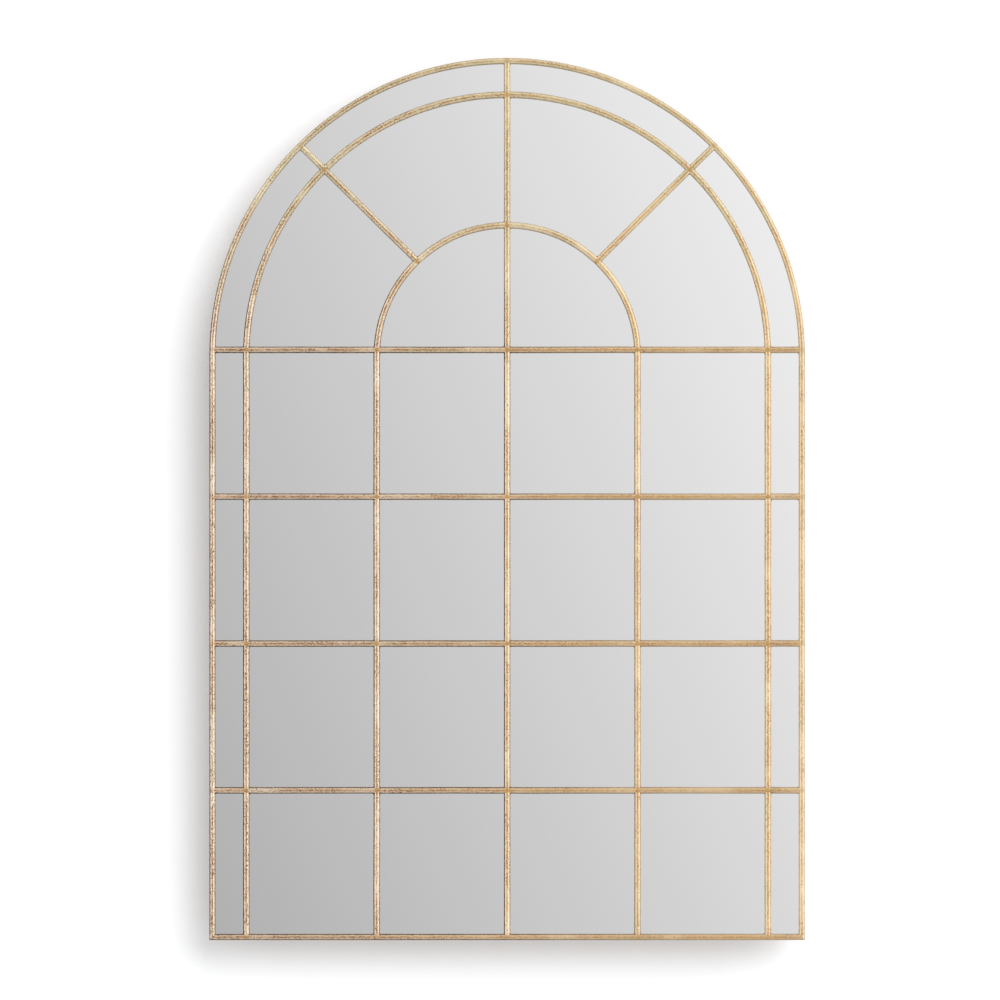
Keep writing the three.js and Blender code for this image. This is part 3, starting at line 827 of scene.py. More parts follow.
def sweep_tree() -> Tree:
    """Builds the tree that makes a forged bar: a section swept along a run, wavy, mitred and hammered.

    The bar carries where each point lies along, round and across it, for the gold leaf to follow.

    Returns:
        The tree.
    """
    tree, given = geometry_tree(
        "forged_bar",
        {
            "Section": ("Object", None),
            "Half Width": ("Float", 5 * MM),
            "Step": ("Float", 2 * MM),
            "Waviness": ("Float", 0.0),
            "Wave Length": ("Float", 120 * MM),
            "Hammering": ("Float", 0.0),
            "Hammer Mark": ("Float", 7 * MM),
            "Weld Dip": ("Float", 0.0),
            "Dip From": ("Float", 4 * MM),
            "Dip To": ("Float", 10 * MM),
            "Mitre Start": ("Float", 0.0),
            "Mitre End": ("Float", 0.0),
            "Mitre Reach": ("Float", 9.5 * MM),
            "Welds": ("Object", None),
            "Level": ("Float", 0.0),
            "Seed": ("Float", 0.0),
            "Finish": ("Material", None),
        },
    )
    forward = (0.0, -1.0, 0.0)
    line = add(tree, "GeometryNodeMeshToCurve", {"Mesh": given["Geometry"]}).outputs[0]
    spaced = {"Curve": line, "Length": given["Step"]}
    line = add(tree, "GeometryNodeResampleCurve", spaced, mode="LENGTH").outputs[0]
    line = add(tree, "GeometryNodeSetCurveNormal", {"Curve": line, "Normal": forward}, mode="FREE").outputs[0]
    kept = add(tree, "GeometryNodeCaptureAttribute", domain="POINT")
    kept.capture_items.new("FLOAT", "Along")
    kept.capture_items.new("FLOAT", "Full")
    kept.capture_items.new("VECTOR", "Tangent")
    along = add(tree, "GeometryNodeSplineParameter").outputs["Length"]
    tangent = add(tree, "GeometryNodeInputTangent").outputs[0]
    tree.links.new(line, kept.inputs["Geometry"])
    tree.links.new(along, kept.inputs["Along"])
    tree.links.new(add(tree, "GeometryNodeSplineLength").outputs["Length"], kept.inputs["Full"])
    tree.links.new(tangent, kept.inputs["Tangent"])

    # A slow sideways wander, in the plane of the mirror.
    sideways = vectors(tree, "CROSS_PRODUCT", tangent, forward)
    far = maths(tree, "DIVIDE", along, given["Wave Length"])
    apart = maths(tree, "MULTIPLY", given["Seed"], 7.31)
    where = add(tree, "ShaderNodeCombineXYZ", {"X": far, "Y": apart}).outputs[0]
    wander = add(tree, "ShaderNodeTexNoise", {"Vector": where, "Scale": 1.0, "Detail": 1.0}).outputs["Fac"]
    wide = maths(tree, "MULTIPLY", maths(tree, "SUBTRACT", wander, 0.5), given["Waviness"])
    wavy = moved(tree, kept.outputs["Geometry"], sideways, wide)

    profile = add(tree, "GeometryNodeObjectInfo", {"Object": given["Section"]}, transform_space="ORIGINAL")
    outline = add(tree, "GeometryNodeMeshToCurve", {"Mesh": profile.outputs["Geometry"]}).outputs[0]
    place = add(tree, "GeometryNodeInputPosition").outputs[0]
    across = add(tree, "ShaderNodeSeparateXYZ", {0: place}).outputs["Y"]
    around = add(tree, "GeometryNodeSplineParameter").outputs["Length"]
    outline = carried(tree, outline, {"across": across, "around": around})
    sweep = {"Curve": wavy, "Profile Curve": outline, "Fill Caps": True}
    bar = add(tree, "GeometryNodeCurveToMesh", sweep).outputs[0]

    # Near a mitred end each point slides along the bar by a share of its distance across.
    across = add(tree, "GeometryNodeInputNamedAttribute", {"Name": "across"}, data_type="FLOAT").outputs[0]
    left = maths(tree, "SUBTRACT", kept.outputs["Full"], kept.outputs["Along"])
    slides = []
    for slope, distance in (("Mitre Start", kept.outputs["Along"]), ("Mitre End", left)):
        near = ramp(tree, distance, Fade(0.0, given["Mitre Reach"], 1.0, 0.0), smooth=False)
        slides.append(maths(tree, "MULTIPLY", maths(tree, "MULTIPLY", across, given[slope]), near))
    bar = moved(tree, bar, kept.outputs["Tangent"], maths(tree, "ADD", *slides))

    # Hammering, and a dip round each weld, only sink the surface, so the bar stays inside its full size.
    cells = {"Vector": place, "Scale": maths(tree, "DIVIDE", 1.0, given["Hammer Mark"])}
    marks = add(tree, "ShaderNodeTexNoise", {**cells, "Detail": 2.0, "Roughness": 0.6}).outputs["Fac"]
    depth = maths(tree, "MULTIPLY", marks, given["Hammering"])
    joints = add(tree, "GeometryNodeObjectInfo", {"Object": given["Welds"]}, transform_space="ORIGINAL")
    nearest = add(tree, "GeometryNodeProximity", {0: joints.outputs["Geometry"]}, target_element="POINTS")
    weld = nearest.outputs["Distance"]
    dip = ramp(tree, weld, Fade(given["Dip From"], given["Dip To"], given["Weld Dip"], 0.0))
    inward = maths(tree, "MULTIPLY", maths(tree, "ADD", depth, dip), -1.0)
    bar = moved(tree, bar, add(tree, "GeometryNodeInputNormal").outputs[0], inward)

    breadth = maths(tree, "DIVIDE", across, given["Half Width"])
    lies = {"along": kept.outputs["Along"], "breadth": breadth, "bar": given["Seed"]}
    bar = carried(tree, bar, {**lies, "level": given["Level"], "weld": weld})
    bar = add(tree, "GeometryNodeSetShadeSmooth", {"Geometry": bar, "Shade Smooth": True}).outputs[0]
    angle = add(tree, "GeometryNodeInputMeshEdgeAngle").outputs[0]
    corner = maths(tree, "GREATER_THAN", angle, math.radians(50))
    creased = {"Geometry": bar, "Selection": corner, "Shade Smooth": False}
    bar = add(tree, "GeometryNodeSetShadeSmooth", creased, domain="EDGE").outputs[0]
    close_tree(tree, bar, given["Finish"])
    return tree


def bead_tree() -> Tree:
    """Builds the tree that sets a lumpy bead of weld at each point.

    Returns:
        The tree.
    """
    tree, given = geometry_tree(
        "weld_bead",
        {
            "Radius": ("Float", 2 * MM),
            "Thickness": ("Float", 2 * MM),
            "Uneven": ("Float", 0.3),
            "Lumps": ("Float", 1.0),
            "Lump Size": ("Float", 3.2 * MM),
            "Seed": ("Int", 11),
            "Finish": ("Material", None),
        },
    )
    ball = add(tree, "GeometryNodeMeshIcoSphere", {"Radius": 1.0, "Subdivisions": 3}).outputs[0]
    radii = {"X": given["Radius"], "Y": given["Thickness"], "Z": given["Radius"]}
    squash = add(tree, "ShaderNodeCombineXYZ", radii).outputs[0]
    bead = add(tree, "GeometryNodeTransform", {"Geometry": ball, "Scale": squash}).outputs[0]
    full_turn = {0: (0.0, 0.0, 0.0), 1: (0.0, math.tau, 0.0), "Seed": given["Seed"]}
    turn = add(tree, "FunctionNodeRandomValue", full_turn, data_type="FLOAT_VECTOR").outputs[0]
    small, large = (maths(tree, kind, 1.0, given["Uneven"]) for kind in ("SUBTRACT", "ADD"))
    sizes = {2: small, 3: large, "Seed": given["Seed"]}
    size = add(tree, "FunctionNodeRandomValue", sizes, data_type="FLOAT").outputs[1]
    spots = {"Points": given["Geometry"], "Instance": bead, "Rotation": turn, "Scale": size}
    beads = add(tree, "GeometryNodeInstanceOnPoints", spots).outputs[0]
    loose = add(tree, "GeometryNodeRealizeInstances", {"Geometry": beads}).outputs[0]
    place = add(tree, "GeometryNodeInputPosition").outputs[0]
    cells = {"Vector": place, "Scale": maths(tree, "DIVIDE", 1.0, given["Lump Size"]), "Detail": 2.0}
    lumps = maths(tree, "SUBTRACT", add(tree, "ShaderNodeTexNoise", cells).outputs["Fac"], 0.78)
    swell = maths(tree, "MULTIPLY", maths(tree, "MULTIPLY", lumps, given["Lumps"]), given["Thickness"])
    lumpy = moved(tree, loose, add(tree, "GeometryNodeInputNormal").outputs[0], swell)
    smooth = add(tree, "GeometryNodeSetShadeSmooth", {"Geometry": lumpy, "Shade Smooth": True})
    close_tree(tree, smooth.outputs[0], given["Finish"])
    return tree


@dataclass
class Ironwork:
    """The frame and the grille: hammered bars, and the beads and caps of weld that hold them together."""

    plan: Plan
    finishes: Finishes
    tree: Tree
    grille_width: float = 11.2 * MM  # of a bar seen from the front, with its rounded sides
    frame_width: float = 10.4 * MM
    rise: float = 3.2 * MM  # of a bar's crown above its straight sides
    wall: float = 4 * MM  # thickness of the frame's wall behind its face
    spoke_angle: float = math.radians(44.6)  # above the transom
    waviness: float = 0.9 * MM
    hammering: float = 0.16 * MM
    weld_dip: float = 0.6 * MM  # how far the bars are hammered down round a weld
    bead: float = 1.5 * MM  # radius of a weld bead in an inner corner
    bead_depth: float = 5.2 * MM  # of a bead behind the crowns
    cap: float = 4.6 * MM  # radius of the spot of weld on a joint
    cap_height: float = 1.5 * MM
    cap_sink: float = 1.05  # how deep a cap sits behind the crowns, in cap heights
    first_grille_seed: int = 10

    def build(self) -> None:
        """Builds every bar and the welds."""
        plan = self.plan
        depth = plan.face_back - plan.front
        face = BarSection(self.grille_width, depth, self.rise)
        angle = BarSection(self.frame_width, depth, self.rise, self.wall, plan.wall_back - plan.face_back)
        sections = {
            0: face.curve("section_grille", 0),
            1: angle.curve("section_wall_right", 1),
            -1: angle.curve("section_wall_left", -1),
        }
        places = [(x, plan.front + self.rise, z) for x, z, _, _ in self._joints()]
        welds = new_object("weld_places", wires("weld_places", places))
        shared = {"Hammering": self.hammering, "Welds": welds, "Finish": self.finishes.gold}
        for seed, (run, outward, mitres) in enumerate(self._frame_runs()):
            cut = {"Mitre Start": mitres[0], "Mitre End": mitres[1], "Mitre Reach": self.frame_width}
            own = {"Section": sections[outward], "Half Width": self.frame_width / 2, **cut}
            self._bar(run, seed, shared | own)
        own = {"Section": sections[0], "Half Width": self.grille_width / 2}
        own |= {"Waviness": self.waviness, "Weld Dip": self.weld_dip}
        for seed, run in enumerate(self._grille_runs(), start=self.first_grille_seed):
            self._bar(run, seed, shared | own)
        for helper in (*sections.values(), welds):
            bpy.data.objects.remove(helper)
        self._welds()

    def _bar(self, run: Run, seed: int, values: dict[str, object]) -> None:
        """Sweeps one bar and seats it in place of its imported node, or nodes."""
        values = values | {"Level": float(run.is_level), "Seed": float(seed)}
        piece = grown(f"gilded_{run.name}", run.mesh(self.plan.front + self.rise), self.tree, values)
        halves = [f"{run.name}_{side.word}" for side in Side]
        seat(piece, "mirror", Slot.GILDED_IRON, *(halves if run.name == "frame_arch" else [run.name]))

    def _frame_runs(self) -> Iterable[tuple[Run, int, tuple[float, float]]]:
        """Runs of the frame, each with the side that its wall is on and its mitres."""
        p = self.plan
        inset = (self.frame_width - p.bar) / 2  # keeps the outer sides where they are packed
        across, rail = p.stile - inset, p.rail + inset
        yield Run.bend("frame_arch", across, p.spring, 0, math.pi), 1, (0.0, 0.0)
        for side in Side:
            x = side.value * across
            run = Run(f"frame_stile_{side.word}", ((x, rail), (x, p.spring)))
            yield run, side.value, (float(-side.value), 0.0)
        yield Run("frame_bottom_rail", ((-across, rail), (across, rail))), 1, (-1.0, 1.0)

    def _grille_runs(self) -> Iterable[Run]:
        """Runs of the grille, each to the middle of the bar that it is welded to."""
        p = self.plan
        top = math.pi / 2
        yield Run("grille_centre_bar", ((0, p.rail), (0, p.spring + p.stile)))
        bearing = p.spoke_bearing(p.outer, self.spoke_angle)
        for side in Side:
            for place, x in (("inner", p.inner), ("outer", p.outer)):
                x *= side.value
                yield Run(f"grille_{place}_upright_{side.word}", ((x, p.rail), (x, p.spring)))
            arcs = (
                ("small_arch", p.inner, 0.0, top),
                ("large_arch_lower", p.outer, 0.0, bearing),
                ("large_arch_upper", p.outer, bearing, top),
            )
            for place, radius, start, end in arcs:
                turned = (start, end) if side is Side.RIGHT else (math.pi - start, math.pi - end)
                yield Run.bend(f"grille_{place}_{side.word}", radius, p.spring, *turned)
            ends = tuple(self._on_spoke(radius, side) for radius in (p.inner, p.stile))
            yield Run(f"grille_spoke_{side.word}", ends)
        for label, z in zip(("rail_1", "rail_2", "rail_3", "transom"), p.rows):
            columns = self._columns(z)
            for bay, (start, end) in enumerate(zip(columns, columns[1:]), start=1):
                yield Run(f"grille_{label}_bay_{bay}", ((start, z), (end, z)))

    def _columns(self, z: float) -> list[float]:
        """Places along a row where it meets what stands in its way."""
        p = self.plan
        right = [p.reach(r, z) for r in (p.inner, p.outer, p.stile)]
        return [-x for x in reversed(right)] + [0.0] + right

    def _on_spoke(self, radius: float, side: Side) -> Flat:
        """Where a spoke crosses an arch."""
        bearing = self.plan.spoke_bearing(radius, self.spoke_angle)
        return side.value * radius * math.cos(bearing), self.plan.spring + radius * math.sin(bearing)

    def _joints(self) -> Iterable[tuple[float, float, float, tuple[float, ...]]]:
        """Every weld: its place, the angle of one bar, and the quarters between the bars that hold a bead."""
        p = self.plan
        quarters = tuple(math.pi * (0.25 + 0.5 * i) for i in range(4))
        rightward, leftward = (quarters[0], quarters[3]), (quarters[1], quarters[2])
        for z in p.rows:
            columns = self._columns(z)
            ends = {columns[0]: rightward, columns[-1]: leftward}
            for x in columns:
                yield x, z, 0.0, ends.get(x, quarters)
        for x in (-p.outer, -p.inner, 0.0, p.inner, p.outer):
            yield x, p.rail, 0.0, quarters[:2]
        for radius in (p.inner, p.outer):
            yield 0.0, p.spring + radius, 0.0, quarters
        yield 0.0, p.spring + p.stile, 0.0, quarters[2:]
        for side in Side:
            outer_side, inner_side = (rightward, leftward)[:: side.value]
            for radius, inside in ((p.inner, outer_side), (p.outer, quarters), (p.stile, inner_side)):
                yield *self._on_spoke(radius, side), self.spoke_angle * side.value, inside

    def _welds(self) -> None:
        """Lays a bead in each inner corner, and a low cap on each joint of the grille above the rail."""
        p, tree, gold = self.plan, bead_tree(), self.finishes.gold_lumps
        corner = self.grille_width / 2 * math.sqrt(2)
        beads, caps = [], []
        for x, z, turn, inside in self._joints():
            for angle in (turn + quarter for quarter in inside):
                y = p.front + self.bead_depth
                beads.append((x + corner * math.cos(angle), y, z + corner * math.sin(angle)))
            if z > p.rail and math.hypot(x, max(0.0, z - p.spring)) < p.outer + p.bar / 2:
                caps.append((x, p.front + self.cap_height * self.cap_sink, z))
        round_bead = {"Radius": self.bead, "Thickness": self.bead}
        low_cap = {"Radius": self.cap, "Thickness": self.cap_height, "Uneven": 0.08, "Lumps": 0.4}
        for name, spots, values in (("weld_beads", beads, round_bead), ("weld_caps", caps, low_cap)):
            piece = grown(name, wires(name, spots), tree, values | {"Finish": gold})
            seat(piece, "mirror", Slot.GILDED_IRON)


# ---- glass and board ----
@dataclass
class ArchedSheet:
    """A sheet with a straight foot and a semicircular head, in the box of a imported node."""

    node: str
    easing: float  # rounding or arris of its edges
    arc_steps: int = 180

    def mesh(self, name: str) -> Mesh:
        """Builds the sheet, in the row's frame."""
        low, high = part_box(self.node)
        spring = high.z - high.x
        shape = bmesh.new()
        foot = [(-high.x, low.z), (high.x, low.z)]
        turns = [math.pi * i / self.arc_steps for i in range(self.arc_steps + 1)]
        head = [(high.x * math.cos(a), spring + high.x * math.sin(a)) for a in turns]
        front = shape.faces.new([shape.verts.new((x, low.y, z)) for x, z in foot + head])
        pushed = bmesh.ops.extrude_face_region(shape, geom=[front])
        back = [v for v in pushed["geom"] if isinstance(v, bmesh.types.BMVert)]
        bmesh.ops.translate(shape, verts=back, vec=(0, high.y - low.y, 0))
        bevel(shape, self.easing, over=45)
        return mesh_of(name, shape, sharp_over=10)


@dataclass
class Glazing:
    """The mirror glass and the board behind it."""

    finishes: Finishes
    arris: float = 0.6 * MM  # of the glass
    sanding: float = 1.0 * MM  # of the board's edges

    def build(self) -> None:
        """Builds both sheets."""
        pane = new_object("silvered_pane", ArchedSheet("mirror_glass", self.arris).mesh("silvered_pane"))
        for material in (self.finishes.silver, self.finishes.glass_edge, self.finishes.lacquer):
            pane.data.materials.append(material)
        for face in pane.data.polygons:
            facing = face.normal.y
            face.material_index = 0 if facing < -0.99 else 2 if facing > 0.99 else 1
        seat(pane, "mirror", Slot.MIRROR_GLASS, "mirror_glass")
        board = new_object("backing_panel", ArchedSheet("backing_board", self.sanding).mesh("backing_panel"))
        board.data.materials.append(self.finishes.board)
        seat(board, "mirror", Slot.BACKING_BOARD, "backing_board")


# ---- back hardware ----
@dataclass
class ScrewHead:
    """A pan head with a cross recess."""

    radius: float = 4.1 * MM
    height: float = 1.7 * MM
    recess_long: float = 2.2 * MM  # half length of each slot
    recess_wide: float = 0.42 * MM
    recess_deep: float = 1.1 * MM
    rings: int = 14
    spokes: int = 48

    def mesh(self) -> Mesh:
        """Builds the head, with its axis along Z and its seat at 0."""
        shape = bmesh.new()
        turns = [math.tau * j / self.spokes for j in range(self.spokes)]
        rows = [
            [shape.verts.new(self._point(i / self.rings, angle)) for angle in turns]
            for i in range(1, self.rings + 1)
        ]
        centre = shape.verts.new((0, 0, self.height - self.recess_deep))
        foot = shape.verts.new((0, 0, 0))
        for j, k in ring_of(self.spokes):
            shape.faces.new((centre, rows[0][j], rows[0][k]))
            for inner, outer in zip(rows, rows[1:]):
                shape.faces.new((inner[j], outer[j], outer[k], inner[k]))
            shape.faces.new((foot, rows[-1][k], rows[-1][j]))
        return mesh_of("screw_head", shape)

    def _point(self, share: float, angle: float) -> Place:
        """A point of the domed face, at a share of the radius, sunk where the recess is."""
        x, y = self.radius * share * math.cos(angle), self.radius * share * math.sin(angle)
        z = self.height * math.sqrt(max(0.0, 1 - share**4))
        long, wide = max(abs(x), abs(y)), min(abs(x), abs(y))
        if long < self.recess_long and wide < self.recess_wide:
            z -= self.recess_deep * (1 - 0.6 * long / self.recess_long)
        return x, y, z


@dataclass
class Fixings:
    """Lugs, hangers, rings, screws and feet on the back."""

    plan: Plan
    finishes: Finishes
    tree: Tree
    hole_edge: float = 9 * MM  # from a screw to the free edge that it is near
    press_easing: float = 0.25 * MM  # of the pressed pieces' cut edges
    wire: float = 3.5 * MM
    wire_sides: int = 20
    ring_corner: float = 4.5 * MM
    butt: float = 0.15 * MM  # half the gap where the wire's ends meet, inside the knuckle
    foot_taper: float = 0.79  # radius of a foot's tip, as a share of its base
    foot_round: float = 1.2 * MM

    def build(self) -> None:
        """Builds all the pieces of the back."""
        gold, zinc = self.finishes.gold_tabs, self.finishes.zinc
        for side in Side:
            for place in ("lower", "middle", "bottom", "upper"):
                self._pressed(f"retaining_tab_{place}_{side.word}", "gilded_lug", gold, Slot.GILDED_IRON)
            self._pressed(f"hanger_plate_{side.word}", "plated", zinc, Slot.ZINC_STEEL)
            self._ring(side)
            for place in ("lower", "upper"):
                self._foot(f"bumper_{place}_{side.word}")
        self._screws()

    def _pressed(self, node: str, prefix: str, finish: Material, slot: Slot) -> None:
        """Makes a pressed steel piece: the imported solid, merged, with its cut edges eased."""
        shape = bmesh.new()
        shape.from_mesh(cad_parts[node].data)
        bmesh.ops.remove_doubles(shape, verts=shape.verts, dist=0.01 * MM)
        bmesh.ops.dissolve_limit(shape, angle_limit=math.radians(1), verts=shape.verts, edges=shape.edges)
        bevel(shape, self.press_easing, over=40)
        piece = new_object(f"{prefix}_{node}", mesh_of(node, shape))
        piece.data.materials.clear()
        piece.data.materials.append(finish)
        seat(piece, "mirror", slot, node)

    def _ring(self, side: Side) -> None:
        """Bends the wire of a D-ring: a straight side in the knuckle, tight corners and an oval bow below."""
        node = f"d_ring_{side.word}"
        low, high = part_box(node)
        x, y, _ = middle(node)
        axis = high.z - self.wire / 2
        half = (high.x - low.x - self.wire) / 2
        corner, reach = self.ring_corner, axis - low.z - self.wire / 2
        quarter = [math.pi / 2 * i / 12 for i in range(13)]
        right = [(half - corner + corner * math.sin(a), corner * (math.cos(a) - 1)) for a in quarter]
        right += [(half * math.cos(a), -corner - (reach - corner) * math.sin(a)) for a in quarter[1:]]
        left = [(-px, pz) for px, pz in reversed(right[:-1])]
        outline = [(self.butt, 0.0), *right, *left, (-self.butt, 0.0)]
        run = Run(node, tuple((x + px, axis + pz) for px, pz in outline))
        turns = [math.tau * i / self.wire_sides for i in range(self.wire_sides)]
        circle = [(self.wire / 2 * math.cos(a), self.wire / 2 * math.sin(a), 0) for a in turns]
        section = new_object("section_wire", wires("section_wire", circle, ring_of(self.wire_sides)))
        values = {"Section": section, "Step": 0.8 * MM, "Finish": self.finishes.zinc}
        piece = grown(f"plated_{node}", run.mesh(y), self.tree, values)
        bpy.data.objects.remove(section)
        seat(piece, f"{side.word}_ring", Slot.ZINC_STEEL, node)

    def _foot(self, node: str) -> None:
        """Turns a rubber foot: a tapered disc with rounded edges and a shallow dimple in its face."""
        low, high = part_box(node)
        x, _, z = middle(node)
        outer, tall, edge = (high.x - low.x) / 2, high.y - low.y, self.foot_round
        tip = outer * self.foot_taper
        profile = [(0.0, 0.0), (outer - 0.3 * MM, 0.0), (outer, 0.3 * MM)]
        turns = [math.pi / 2 * i / 6 for i in range(7)]
        profile += [(tip - edge * (1 - math.cos(a)), tall - edge * (1 - math.sin(a))) for a in turns]
        dimple = ((0.42, 0.0), (0.36, 0.15), (0.3, 0.6), (0.0, 0.8))  # share of the tip's radius, and depth
        profile += [(tip * share, tall - deep * MM) for share, deep in dimple]
        piece = new_object(f"rubber_{node}", lathed(node, profile, (x, low.y, z)))
        piece.data.materials.append(self.finishes.rubber)
        seat(piece, "mirror", Slot.RUBBER, node)

    def _screw_places(self) -> list[Place]:
        """Works out the middle of each screw hole, on the back of what it holds."""
        places = []
        low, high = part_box("retaining_tab_lower_right")
        reach, back = low.x + self.hole_edge, high.y
        slant = reach * math.sqrt(0.5)
        for side in Side:
            for place in ("lower", "middle"):
                places.append((side.value * reach, back, middle(f"retaining_tab_{place}_{side.word}")[2]))
            bottom = f"retaining_tab_bottom_{side.word}"
            places.append((middle(bottom)[0], back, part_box(bottom)[1].z - self.hole_edge))
            places.append((side.value * slant, back, self.plan.spring + slant))
            a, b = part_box(f"hanger_plate_{side.word}")
            for x in (a.x + self.hole_edge, b.x - self.hole_edge):
                places.append((x, back, a.z + self.hole_edge))
        return places

    def _screws(self) -> None:
        """Sets a screw in each hole, each turned to a different angle."""
        head = new_object("screw_head", ScrewHead().mesh())
        spots = wires("screw_spots", self._screw_places())
        piece = grown("fixing_screws", spots, screw_tree(), {"Head": head, "Finish": self.finishes.zinc})
        bpy.data.objects.remove(head)
        seat(piece, "mirror", Slot.ZINC_STEEL)


def lathed(name: str, profile: list[tuple[float, float]], foot: Place) -> Mesh:
    """Turns a profile round an axis along +Y.

    Args:
        name: The mesh's name.
        profile: Points as (radius, height), from the axis at the foot to the axis at the tip.
        foot: The place of the profile's height 0 on the axis.

    Returns:
        The closed mesh.
    """
    shape = bmesh.new()
    chain = [shape.verts.new((r, h, 0)) for r, h in profile]
    edges = [shape.edges.new(pair) for pair in zip(chain, chain[1:])]
    bmesh.ops.spin(shape, geom=chain + edges, cent=(0, 0, 0), axis=(0, 1, 0), angle=math.tau, steps=48)
    bmesh.ops.remove_doubles(shape, verts=shape.verts, dist=0.005 * MM)
    bmesh.ops.translate(shape, verts=shape.verts, vec=foot)
    return mesh_of(name, shape)


def screw_tree() -> Tree:
    """Builds the tree that sets a screw head at each point, facing +Y.

    Returns:
        The tree.
    """
    inputs = {"Head": ("Object", None), "Seed": ("Int", 5), "Finish": ("Material", None)}
    tree, given = geometry_tree("screw_set", inputs)
    head = add(tree, "GeometryNodeObjectInfo", {"Object": given["Head"]}, transform_space="ORIGINAL")
    quarter = {2: 0.0, 3: math.pi / 2, "Seed": given["Seed"]}
    turn = add(tree, "FunctionNodeRandomValue", quarter, data_type="FLOAT").outputs[1]
    spin = add(tree, "ShaderNodeCombineXYZ", {"Z": turn}).outputs[0]
    turned = {"Rotation": (-math.pi / 2, 0.0, 0.0), "Rotate By": spin}
    aimed = add(tree, "FunctionNodeRotateEuler", turned, space="LOCAL").outputs[0]
    spots = {"Points": given["Geometry"], "Instance": head.outputs["Geometry"], "Rotation": aimed}
    close_tree(tree, add(tree, "GeometryNodeInstanceOnPoints", spots).outputs[0], given["Finish"])
    return tree


# ---- studio ----
@dataclass
class Studio:
    """Camera, pale wall and floor, and soft light that is brighter from the right and above."""

    distance: float = 15.0  # far enough that a bar hides its own reflection
    eye: Flat = (-12.3 * MM, 760.2 * MM)  # where the camera's axis meets the mirror
    view_width: float = 1.727  # metres across the picture, at the mirror
    sensor: float = 36.0
    wall_gap: float = 54 * MM  # behind the feet
    floor_drop: float = 150 * MM  # below the mirror's foot
    key_power: float = 3.95
    key_spread: float = 1.05  # angular width, in radians
    key_slope: tuple[float, float] = (0.82, 0.9)  # to the right and up, for each metre towards the viewer
    wall_glow: float = 0.18
    wall_white: str = "#CACBCD"
    floor_white: tuple[float, ...] = (0.8, 0.8, 0.79, 1.0)

    # The surroundings, as tones out of 255. Fades are by the parts of a direction's unit vector.
    ahead: float = 216.0  # what the mirror shows
    rightward: float = 639.0  # and how it rises to the right and upwards
    upward: float = 270.0
    around: float = 200.0  # the rest of the room
    shown: Fade = Fade(0.08, 0.2, 1.0, 0.0)  # from what the mirror shows to the rest
    right_panel: Fade = Fade(0.22, 0.48, 0.0, 0.86)
    left_panel: Fade = Fade(-0.48, -0.22, 0.75, 0.0)
    panel_height: Fade = Fade(0.3, 0.75, 1.0, 0.0)
    panel_edge: Fade = Fade(0.74, 0.94, 1.0, 0.0)
    # The panels are dimmer below eye level, so that the glass seen from one side stays greyer than the wall.
    panel_foot: Fade = Fade(-0.22, -0.04, 0.2, 1.0)
    dim_sides: Fade = Fade(0.74, 0.97, 1.0, 0.55)
    dim_floor: Fade = Fade(-0.95, -0.6, 0.75, 1.0)

    def build(self, front: float) -> None:
        """Builds the studio for a mirror whose front is at this Y."""
        bpy.context.scene.view_settings.view_transform = "Standard"
        self._camera(front)
        self._sky()
        self._key()
        self._wall()
        self._floor()
        log.info("studio")

    def _camera(self, front: float) -> None:
        """Sets the camera level, in front of the mirror."""
        data = bpy.data.cameras.new("camera")
        data.sensor_width = self.sensor
        data.lens = self.sensor * self.distance / self.view_width
        data.clip_start, data.clip_end = 0.1, 100
        camera = new_object("camera", data)
        camera.location = (self.eye[0], front - self.distance, self.eye[1])
        camera.rotation_euler = (math.pi / 2, 0, 0)
        bpy.context.scene.camera = camera

    def _sky(self) -> None:
        """Makes the surroundings: a grey ramp ahead, for the mirror to show, and a bright panel each side."""
        world = bpy.data.worlds.new("studio_light")
        world.use_nodes = True
        t = world.node_tree
        t.nodes.clear()
        bpy.context.scene.world = world
        heading = add(t, "ShaderNodeTexCoord").outputs["Generated"]
        parts = add(t, "ShaderNodeSeparateXYZ", {0: heading}).outputs
        level, height = maths(t, "ABSOLUTE", parts["X"]), maths(t, "ABSOLUTE", parts["Z"])
        squares = [maths(t, "POWER", part, 2.0) for part in (level, height)]
        near = ramp(t, maths(t, "SQRT", maths(t, "ADD", *squares)), self.shown)
        rise = vectors(t, "DOT_PRODUCT", heading, (self.rightward, 0.0, self.upward))
        plain = ramp(t, near, Fade(0.0, 1.0, self.around, self.ahead))
        tone = maths(t, "ADD", maths(t, "MULTIPLY", rise, near), plain)
        light = maths(t, "POWER", maths(t, "DIVIDE", tone, WHITE_TONE), 2.2)
        light = maths(t, "MULTIPLY", light, ramp(t, level, self.dim_sides))
        band = maths(t, "MULTIPLY", ramp(t, height, self.panel_height), ramp(t, level, self.panel_edge))
        band = maths(t, "MULTIPLY", band, ramp(t, parts["Z"], self.panel_foot))
        for panel in (self.right_panel, self.left_panel):
            light = maths(t, "ADD", light, maths(t, "MULTIPLY", ramp(t, parts["X"], panel), band))
        light = maths(t, "MULTIPLY", light, ramp(t, parts["Z"], self.dim_floor))
        seen = add(t, "ShaderNodeLightPath").outputs["Is Camera Ray"]
        shown = add(t, "ShaderNodeMix", {0: seen, 2: light, 3: 1.0}, data_type="FLOAT").outputs[0]
        back = add(t, "ShaderNodeBackground", {"Color": linear("#FFFFFF"), "Strength": shown})
        add(t, "ShaderNodeOutputWorld", {"Surface": back.outputs[0]})

    def _key(self) -> None:
        """Hangs the large soft light that throws the shadow to the left and down."""
        data = bpy.data.lights.new("key", "SUN")
        data.energy = self.key_power
        data.angle = self.key_spread
        key = new_object("key", data)
        heading = Vector((-self.key_slope[0], 1.0, -self.key_slope[1]))
        key.rotation_mode = "QUATERNION"
        key.rotation_quaternion = heading.to_track_quat("-Z", "Y")
        key.visible_glossy = False

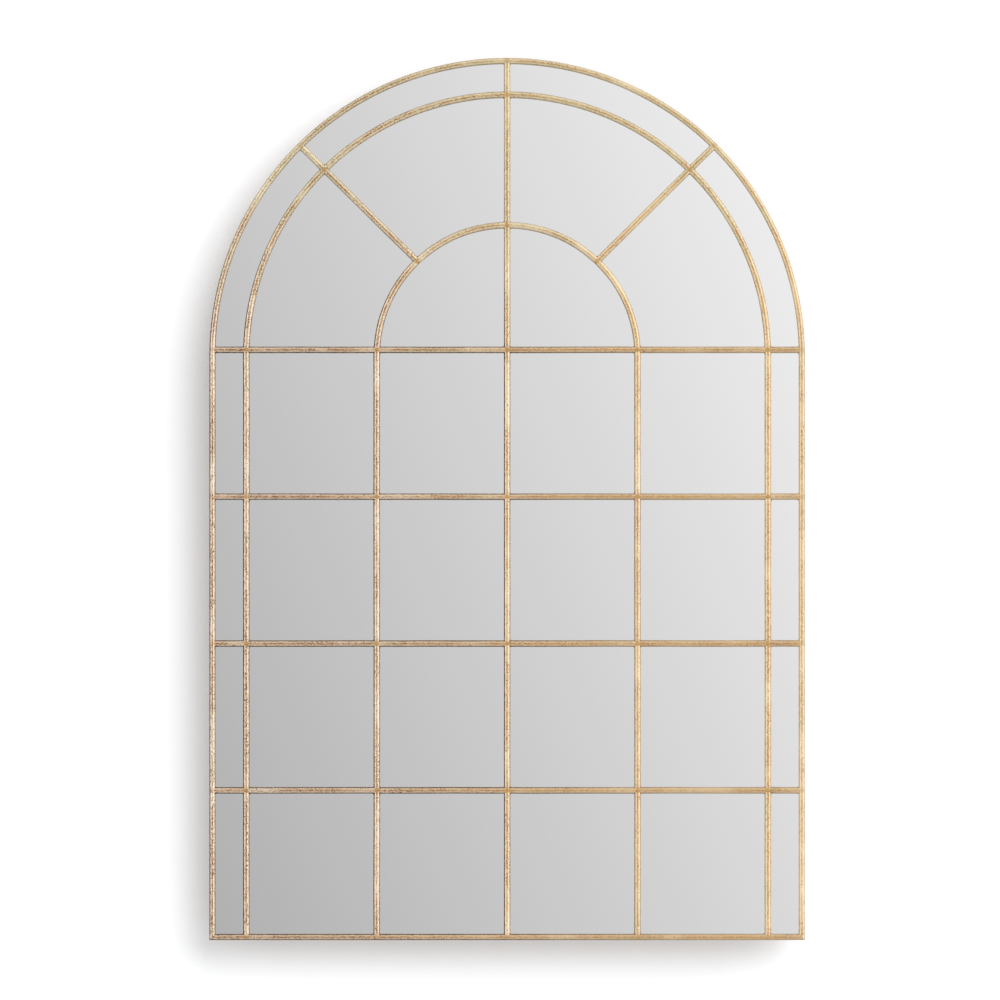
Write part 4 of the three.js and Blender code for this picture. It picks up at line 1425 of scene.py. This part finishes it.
    def _sheet(self, name: str, corners: list[Place]) -> Thing:
        """Makes one flat sheet of the studio."""
        mesh = bpy.data.meshes.new(name)
        mesh.from_pydata(corners, [], [tuple(range(len(corners)))])
        sheet = new_object(name, mesh)
        return sheet

    def _wall(self) -> None:
        """Stands a white wall behind the mirror. It shows from its front alone, and no reflection holds it."""
        y = cad_box[1].y + self.wall_gap
        foot = cad_box[0].z - self.floor_drop
        wall = self._sheet("wall", [(-2, y, foot), (2, y, foot), (2, y, 3), (-2, y, 3)])
        wall.visible_shadow = wall.visible_diffuse = wall.visible_glossy = wall.visible_transmission = False
        p = Painter("white_wall")
        paint = add(p.tree, "ShaderNodeBsdfDiffuse", {"Color": linear(self.wall_white)}).outputs[0]
        glow = add(p.tree, "ShaderNodeEmission", {"Strength": self.wall_glow}).outputs[0]
        lit = add(p.tree, "ShaderNodeAddShader", {0: paint, 1: glow}).outputs[0]
        clear = add(p.tree, "ShaderNodeBsdfTransparent").outputs[0]
        back = add(p.tree, "ShaderNodeNewGeometry").outputs["Backfacing"]
        one_way = add(p.tree, "ShaderNodeMixShader", {0: back, 1: lit, 2: clear}).outputs[0]
        add(p.tree, "ShaderNodeOutputMaterial", {"Surface": one_way})
        wall.data.materials.append(p.material)

    def _floor(self) -> None:
        """Lays a plain pale floor, which the mirror doesn't show."""
        z = cad_box[0].z - self.floor_drop
        floor = self._sheet("floor", [(-4, -4, z), (4, -4, z), (4, 4, z), (-4, 4, z)])
        floor.visible_glossy = False
        p = Painter("pale_floor")
        paint = add(p.tree, "ShaderNodeBsdfDiffuse", {"Color": self.floor_white}).outputs[0]
        add(p.tree, "ShaderNodeOutputMaterial", {"Surface": paint})
        floor.data.materials.append(p.material)


def main() -> None:
    """Builds the mirror and its studio."""
    logging.basicConfig(level=logging.INFO, format="%(message)s")
    plan = Plan.from_frame()
    Studio().build(plan.front)
    finishes = Finishes()
    bars = sweep_tree()
    Ironwork(plan, finishes, bars).build()
    Glazing(finishes).build()
    Fixings(plan, finishes, bars).build()


if __name__ == "__main__":
    main()
